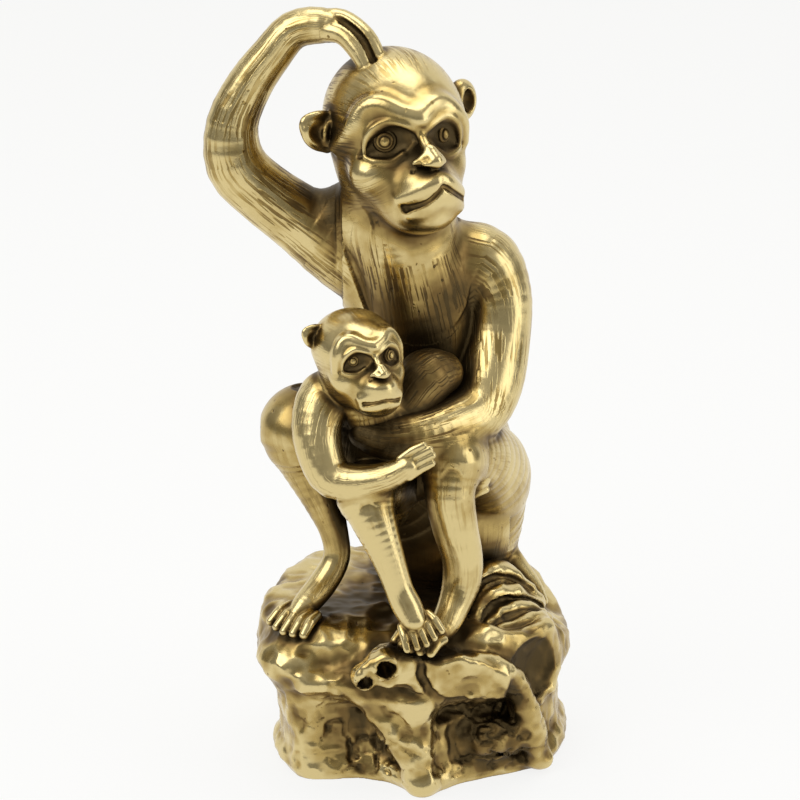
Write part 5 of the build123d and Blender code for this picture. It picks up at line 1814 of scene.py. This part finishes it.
@dataclass
class Studio:
    """A white sweep, two soft boxes and a camera at the photograph's angle."""

    rise_degrees: float = 18.0
    away_mm: float = 560.0
    lens_mm: float = 112.5
    sensor_mm: float = 36.0
    aim_mm: Place = (-5.4, 0.0, 81.5)
    lamp_aim_m: Place = (0.0, 0.0, 0.09)
    lamps: tuple[tuple[str, Place, float, float, float], ...] = (
        ("key soft box", (-0.60, -0.45, 0.80), 0.80, 0.80, 4.5),
        ("fill soft box", (0.85, -0.30, 0.40), 0.50, 0.90, 2.2),
        ("top soft box", (0.05, 0.15, 1.00), 0.80, 0.50, 2.8),
    )
    paper_glow: float = 0.86
    room_dim: float = 0.20
    room_pale: float = 0.45

    def camera(self) -> None:
        """The camera, looking down at the figurine's middle."""
        rise = math.radians(self.rise_degrees)
        back = Vector((0.0, -math.cos(rise), math.sin(rise)))
        aim = Vector(self.aim_mm) * METRE
        lens = bpy.data.cameras.new("camera")
        lens.lens = self.lens_mm
        lens.sensor_width = self.sensor_mm
        lens.clip_start = 0.01
        thing = bpy.data.objects.new("camera", lens)
        thing.location = aim + back * (self.away_mm * METRE)
        thing.rotation_euler = back.to_track_quat("Z", "Y").to_euler()
        bpy.context.scene.collection.objects.link(thing)
        bpy.context.scene.camera = thing

    def lamp(self, title: str, place: Place, wide: float, high: float, watts: float) -> None:
        """A soft box that faces the figurine.

        Args:
            title: Its name.
            place: Where it stands, in metres.
            wide: Its width in metres.
            high: Its height in metres.
            watts: Its power.
        """
        light = bpy.data.lights.new(title, "AREA")
        light.shape = "RECTANGLE"
        light.size, light.size_y, light.energy = wide, high, watts
        thing = bpy.data.objects.new(title, light)
        thing.location = place
        thing.rotation_euler = (Vector(place) - Vector(self.lamp_aim_m)).to_track_quat("Z", "Y").to_euler()
        bpy.context.scene.collection.objects.link(thing)

    def floor(self) -> bpy.types.Object:
        """The sweep: a floor that turns up into a wall behind, as one curved sheet, in metres.

        Across it runs straight; along it the height is nothing, then a quarter circle, then a wall.

        Returns:
            The sweep's object.
        """
        start, bend, radius, wall = -3.0, 1.0, 0.8, 3.2
        turn = np.linspace(0.0, math.pi / 2, 24)
        along = np.concatenate([[start], bend + radius * np.sin(turn), [bend + radius]])
        high = np.concatenate([[0.0], radius - radius * np.cos(turn), [wall]])
        sides = np.array([start, -start])
        grid = np.stack([
            np.repeat(sides[:, None], len(along), 1), np.repeat(along[None], 2, 0), np.repeat(high[None], 2, 0),
        ], -1)
        count = len(along)
        index = np.arange(2 * count).reshape(2, count)
        faces = np.stack([index[0, :-1], index[1, :-1], index[1, 1:], index[0, 1:]], -1)
        mesh = bpy.data.meshes.new("sweep")
        mesh.from_pydata(grid.reshape(-1, 3).tolist(), [], faces.tolist())
        mesh.polygons.foreach_set("use_smooth", np.ones(len(faces), bool))
        thing = bpy.data.objects.new("sweep", mesh)
        bpy.context.scene.collection.objects.link(thing)
        paper = bpy.data.materials.new("matt white paper")
        paper.use_nodes = True
        tree = paper.node_tree
        tree.nodes.clear()
        diffuse = add_node(tree, "ShaderNodeBsdfDiffuse", {}, {"Color": linear("#F4F4F2")})
        glow = add_node(tree, "ShaderNodeEmission", {}, {"Color": linear("#FDFDFC"), "Strength": 1.0})
        both = add_node(
            tree, "ShaderNodeMixShader", {}, {0: self.paper_glow, 1: diffuse.outputs[0], 2: glow.outputs[0]}
        )
        add_node(tree, "ShaderNodeOutputMaterial", {}, {"Surface": both.outputs[0]})
        mesh.materials.append(paper)
        return thing

    def world(self) -> None:
        """The room: dim at the level of the eye and paler overhead, as the metal shows it."""
        world = bpy.data.worlds.new("room")
        world.use_nodes = True
        tree = world.node_tree
        tree.nodes.clear()
        way = add_node(tree, "ShaderNodeTexCoord").outputs["Generated"]
        split = add_node(tree, "ShaderNodeSeparateXYZ", {}, {0: way})
        lift = add_node(
            tree, "ShaderNodeMapRange", {"interpolation_type": "SMOOTHSTEP"},
            {
                "Value": split.outputs[2], "From Min": -0.10, "From Max": 0.80,
                "To Min": self.room_dim, "To Max": self.room_pale,
            },
        ).outputs[0]
        grey = add_node(tree, "ShaderNodeBackground", {}, {"Color": (1.0, 0.985, 0.96, 1.0), "Strength": lift})
        add_node(tree, "ShaderNodeOutputWorld", {}, {"Surface": grey.outputs[0]})
        bpy.context.scene.world = world

    def build(self) -> None:
        """Sets up the camera, the sweep, the lamps and the room."""
        self.camera()
        self.floor()
        for row in self.lamps:
            self.lamp(*row)
        self.world()
        bpy.context.scene.view_settings.view_transform = "Standard"


def foot_fade(places: np.ndarray) -> Field:
    """How much relief a place may have: none on the flat foot, and all of it from 2.2 mm up."""
    return np.clip((places[:, 2] - 0.6) / 1.6, 0.0, 1.0)


def face_fade(places: np.ndarray, head: HeadPose) -> Field:
    """How much hair shows round a head: none within 46 degrees of the face, all past 64.

    Under the chin there is always some, and the nose, lips and chin are bare as far as 8 mm from
    their middle. Places 24 mm from the head's middle are past it, or 29 mm in front of it.

    Args:
        places: Places on the surface.
        head: The head's place and size.

    Returns:
        A share from 0 to 1 for each place, 1 away from the head.
    """
    local = (places - np.array(head.middle)) @ head.matrix() / head.scale
    length = np.linalg.norm(local, axis=1) + TINY
    facing = (local @ np.array([0.0, -0.98, 0.18])) / length
    shown = np.clip((math.cos(math.radians(46)) - facing) / 0.25, 0.0, 1.0)
    shown = np.where(local[:, 2] < -2.0, np.maximum(shown, 0.35), shown)
    bare_nose = np.clip((np.abs(local[:, 0] - 1.2) - 8.0) / 3.0, 0.0, 1.0)
    in_front = local[:, 1] < -9.0
    shown = np.where(in_front & (local[:, 2] < 8.0), shown * bare_nose, shown)
    return np.where(length > np.where(in_front, 29.0, 24.0), 1.0, shown)


def socket_shade(head: HeadPose, reach: float, strength: float) -> tuple[tuple[Place, float, float], ...]:
    """The two patches of painted shade in a head's eye sockets, the right one first."""
    return tuple((head.placed((side.value * 6.2, -14.5, 1.6)), reach, strength) for side in Side)


@dataclass
class Rock(Casting):
    """The rock's casting, which is broken into facets and cracks in its front bays."""

    title: str = "rock"
    slot: str = "rock_brass"
    forms: list[Form] = field(default_factory=rock_forms)
    step: float = 0.51
    relief: float = 0.5
    sunk: float = 3.0
    # Patches of painted shade: on the top between the feet, in the lobe's bowl and in the two bays under the overhang.
    dark: tuple[tuple[Place, float, float], ...] = (
        ((-6.0, -8.0, 37.0), 15.0, 0.5), ((22.0, -17.0, 27.0), 5.0, 0.4), ((-16.0, -28.0, 10.0), 9.0, 0.35),
        ((13.0, -26.0, 13.0), 10.0, 0.4),
    )
    bays: tuple[tuple[Place, float], ...] = (((-16.0, -28.0, 10.0), 11.0), ((14.0, -25.0, 12.0), 12.0))
    lump_height: float = 0.55
    crack_depth: float = 1.1

    def rough(self, places: np.ndarray) -> Field:
        """The cast surface's noise, with lumps and cracks in the bays below the overhang."""
        within = sum(patch(places, middle, reach) for middle, reach in self.bays)
        cracks = np.clip(1.0 - 5.0 * np.abs(noise(places * (1.0, 1.0, 1.5) / 6.5 + 9.0, 3)), 0.0, 1.0)
        lumps = noise(places * (1.0, 1.0, 1.3) / 4.2 + 21.0, 2)
        broken = self.lump_height * lumps - self.crack_depth * cracks
        return super().rough(places) + foot_fade(places) * np.clip(within, 0.0, 1.0) * broken


@dataclass
class Adult(Casting):
    """The adult's casting, with a bare face."""

    title: str = "adult"
    slot: str = "adult_brass"
    forms: list[Form] = field(default_factory=adult_forms)
    step: float = 0.36
    # Patches of painted shade: where the chest meets the left arm, between the legs, at the right knee, under the young
    # one's chin, at the raised arm's shoulder, and in the eye sockets.
    dark: tuple[tuple[Place, float, float], ...] = (
        ((5.5, -7.0, 107.0), 9.0, 0.45), ((-4.0, -6.0, 58.0), 16.0, 0.7), ((-26.0, -6.0, 82.0), 10.0, 0.35),
        ((-12.0, -27.0, 81.0), 6.0, 0.5), ((-22.0, 4.0, 128.0), 9.0, 0.35), *socket_shade(ADULT_HEAD, 3.8, 0.5),
    )

    def hair(self, places: np.ndarray) -> Field:
        """Hair fades out over the face, and to half of it from the waist to the lap."""
        return face_fade(places, ADULT_HEAD) * (0.5 + 0.5 * np.clip((places[:, 2] - 60.0) / 14.0, 0.0, 1.0))


@dataclass
class Young(Casting):
    """The young one's casting, with a bare face."""

    title: str = "young"
    slot: str = "young_brass"
    forms: list[Form] = field(default_factory=young_forms)
    step: float = 0.30
    # A patch of painted shade on the young one's left arm, and painted shade in its eye sockets.
    dark: tuple[tuple[Place, float, float], ...] = (((0.0, -15.0, 92.0), 9.0, 0.65), *socket_shade(YOUNG_HEAD, 2.4, 0.4))

    def hair(self, places: np.ndarray) -> Field:
        """Hair fades out over the face."""
        return face_fade(places, YOUNG_HEAD)


def ringed_eye(title: str, head: HeadPose, side: Side) -> RingedEye:
    """One eye of a head, looking ahead and a little outwards.

    Args:
        title: The piece's name.
        head: The head's place and size.
        side: Which of its eyes it is; the left one sits a little further forward.

    Returns:
        The eye.
    """
    place = head.placed((5.75 * side.value, -12.0 - 0.7 * side.value, 1.9))
    forward = head.matrix() @ np.array([0.45 * side.value, -0.89, 0.05])
    return RingedEye(title, place, forward, 2.9 * head.scale)


def main() -> None:
    """Builds the castings, parts them into the frame's nodes, adds the eyes and lights them."""
    logging.basicConfig(level=logging.INFO, format="%(name)s %(message)s")
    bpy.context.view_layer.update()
    stone = AntiqueBrass("antique cast brass, rough as stone").material()
    hair = AntiqueBrass("antique cast brass, engraved with hair").material()
    castings = ((Rock(), stone), (Adult(), hair), (Young(), hair))
    whole = Surroundings([form for casting, _ in castings for form in casting.forms])
    for casting, material in castings:
        slot = casting.slot
        for node, section in casting.cast(whole).items():
            piece = mesh_of(f"{node}_cast", section)
            piece.data.materials.append(material)
            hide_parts(node)
            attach(piece, "root")
            log.info("%s: %d faces", node, len(section.quads) + len(section.triangles))
    for title, head, slot in (("adult", ADULT_HEAD, "adult_brass"), ("young", YOUNG_HEAD, "young_brass")):
        for side in Side:
            eye = ringed_eye(f"{title}_{side.name.lower()}_eye", head, side)
            piece = mesh_of(eye.title, eye.mesh())
            piece.data.materials.append(hair)
            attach(piece, "root")
            log.info("%s", eye.title)
    Studio().build()


if __name__ == "__main__":
    main()
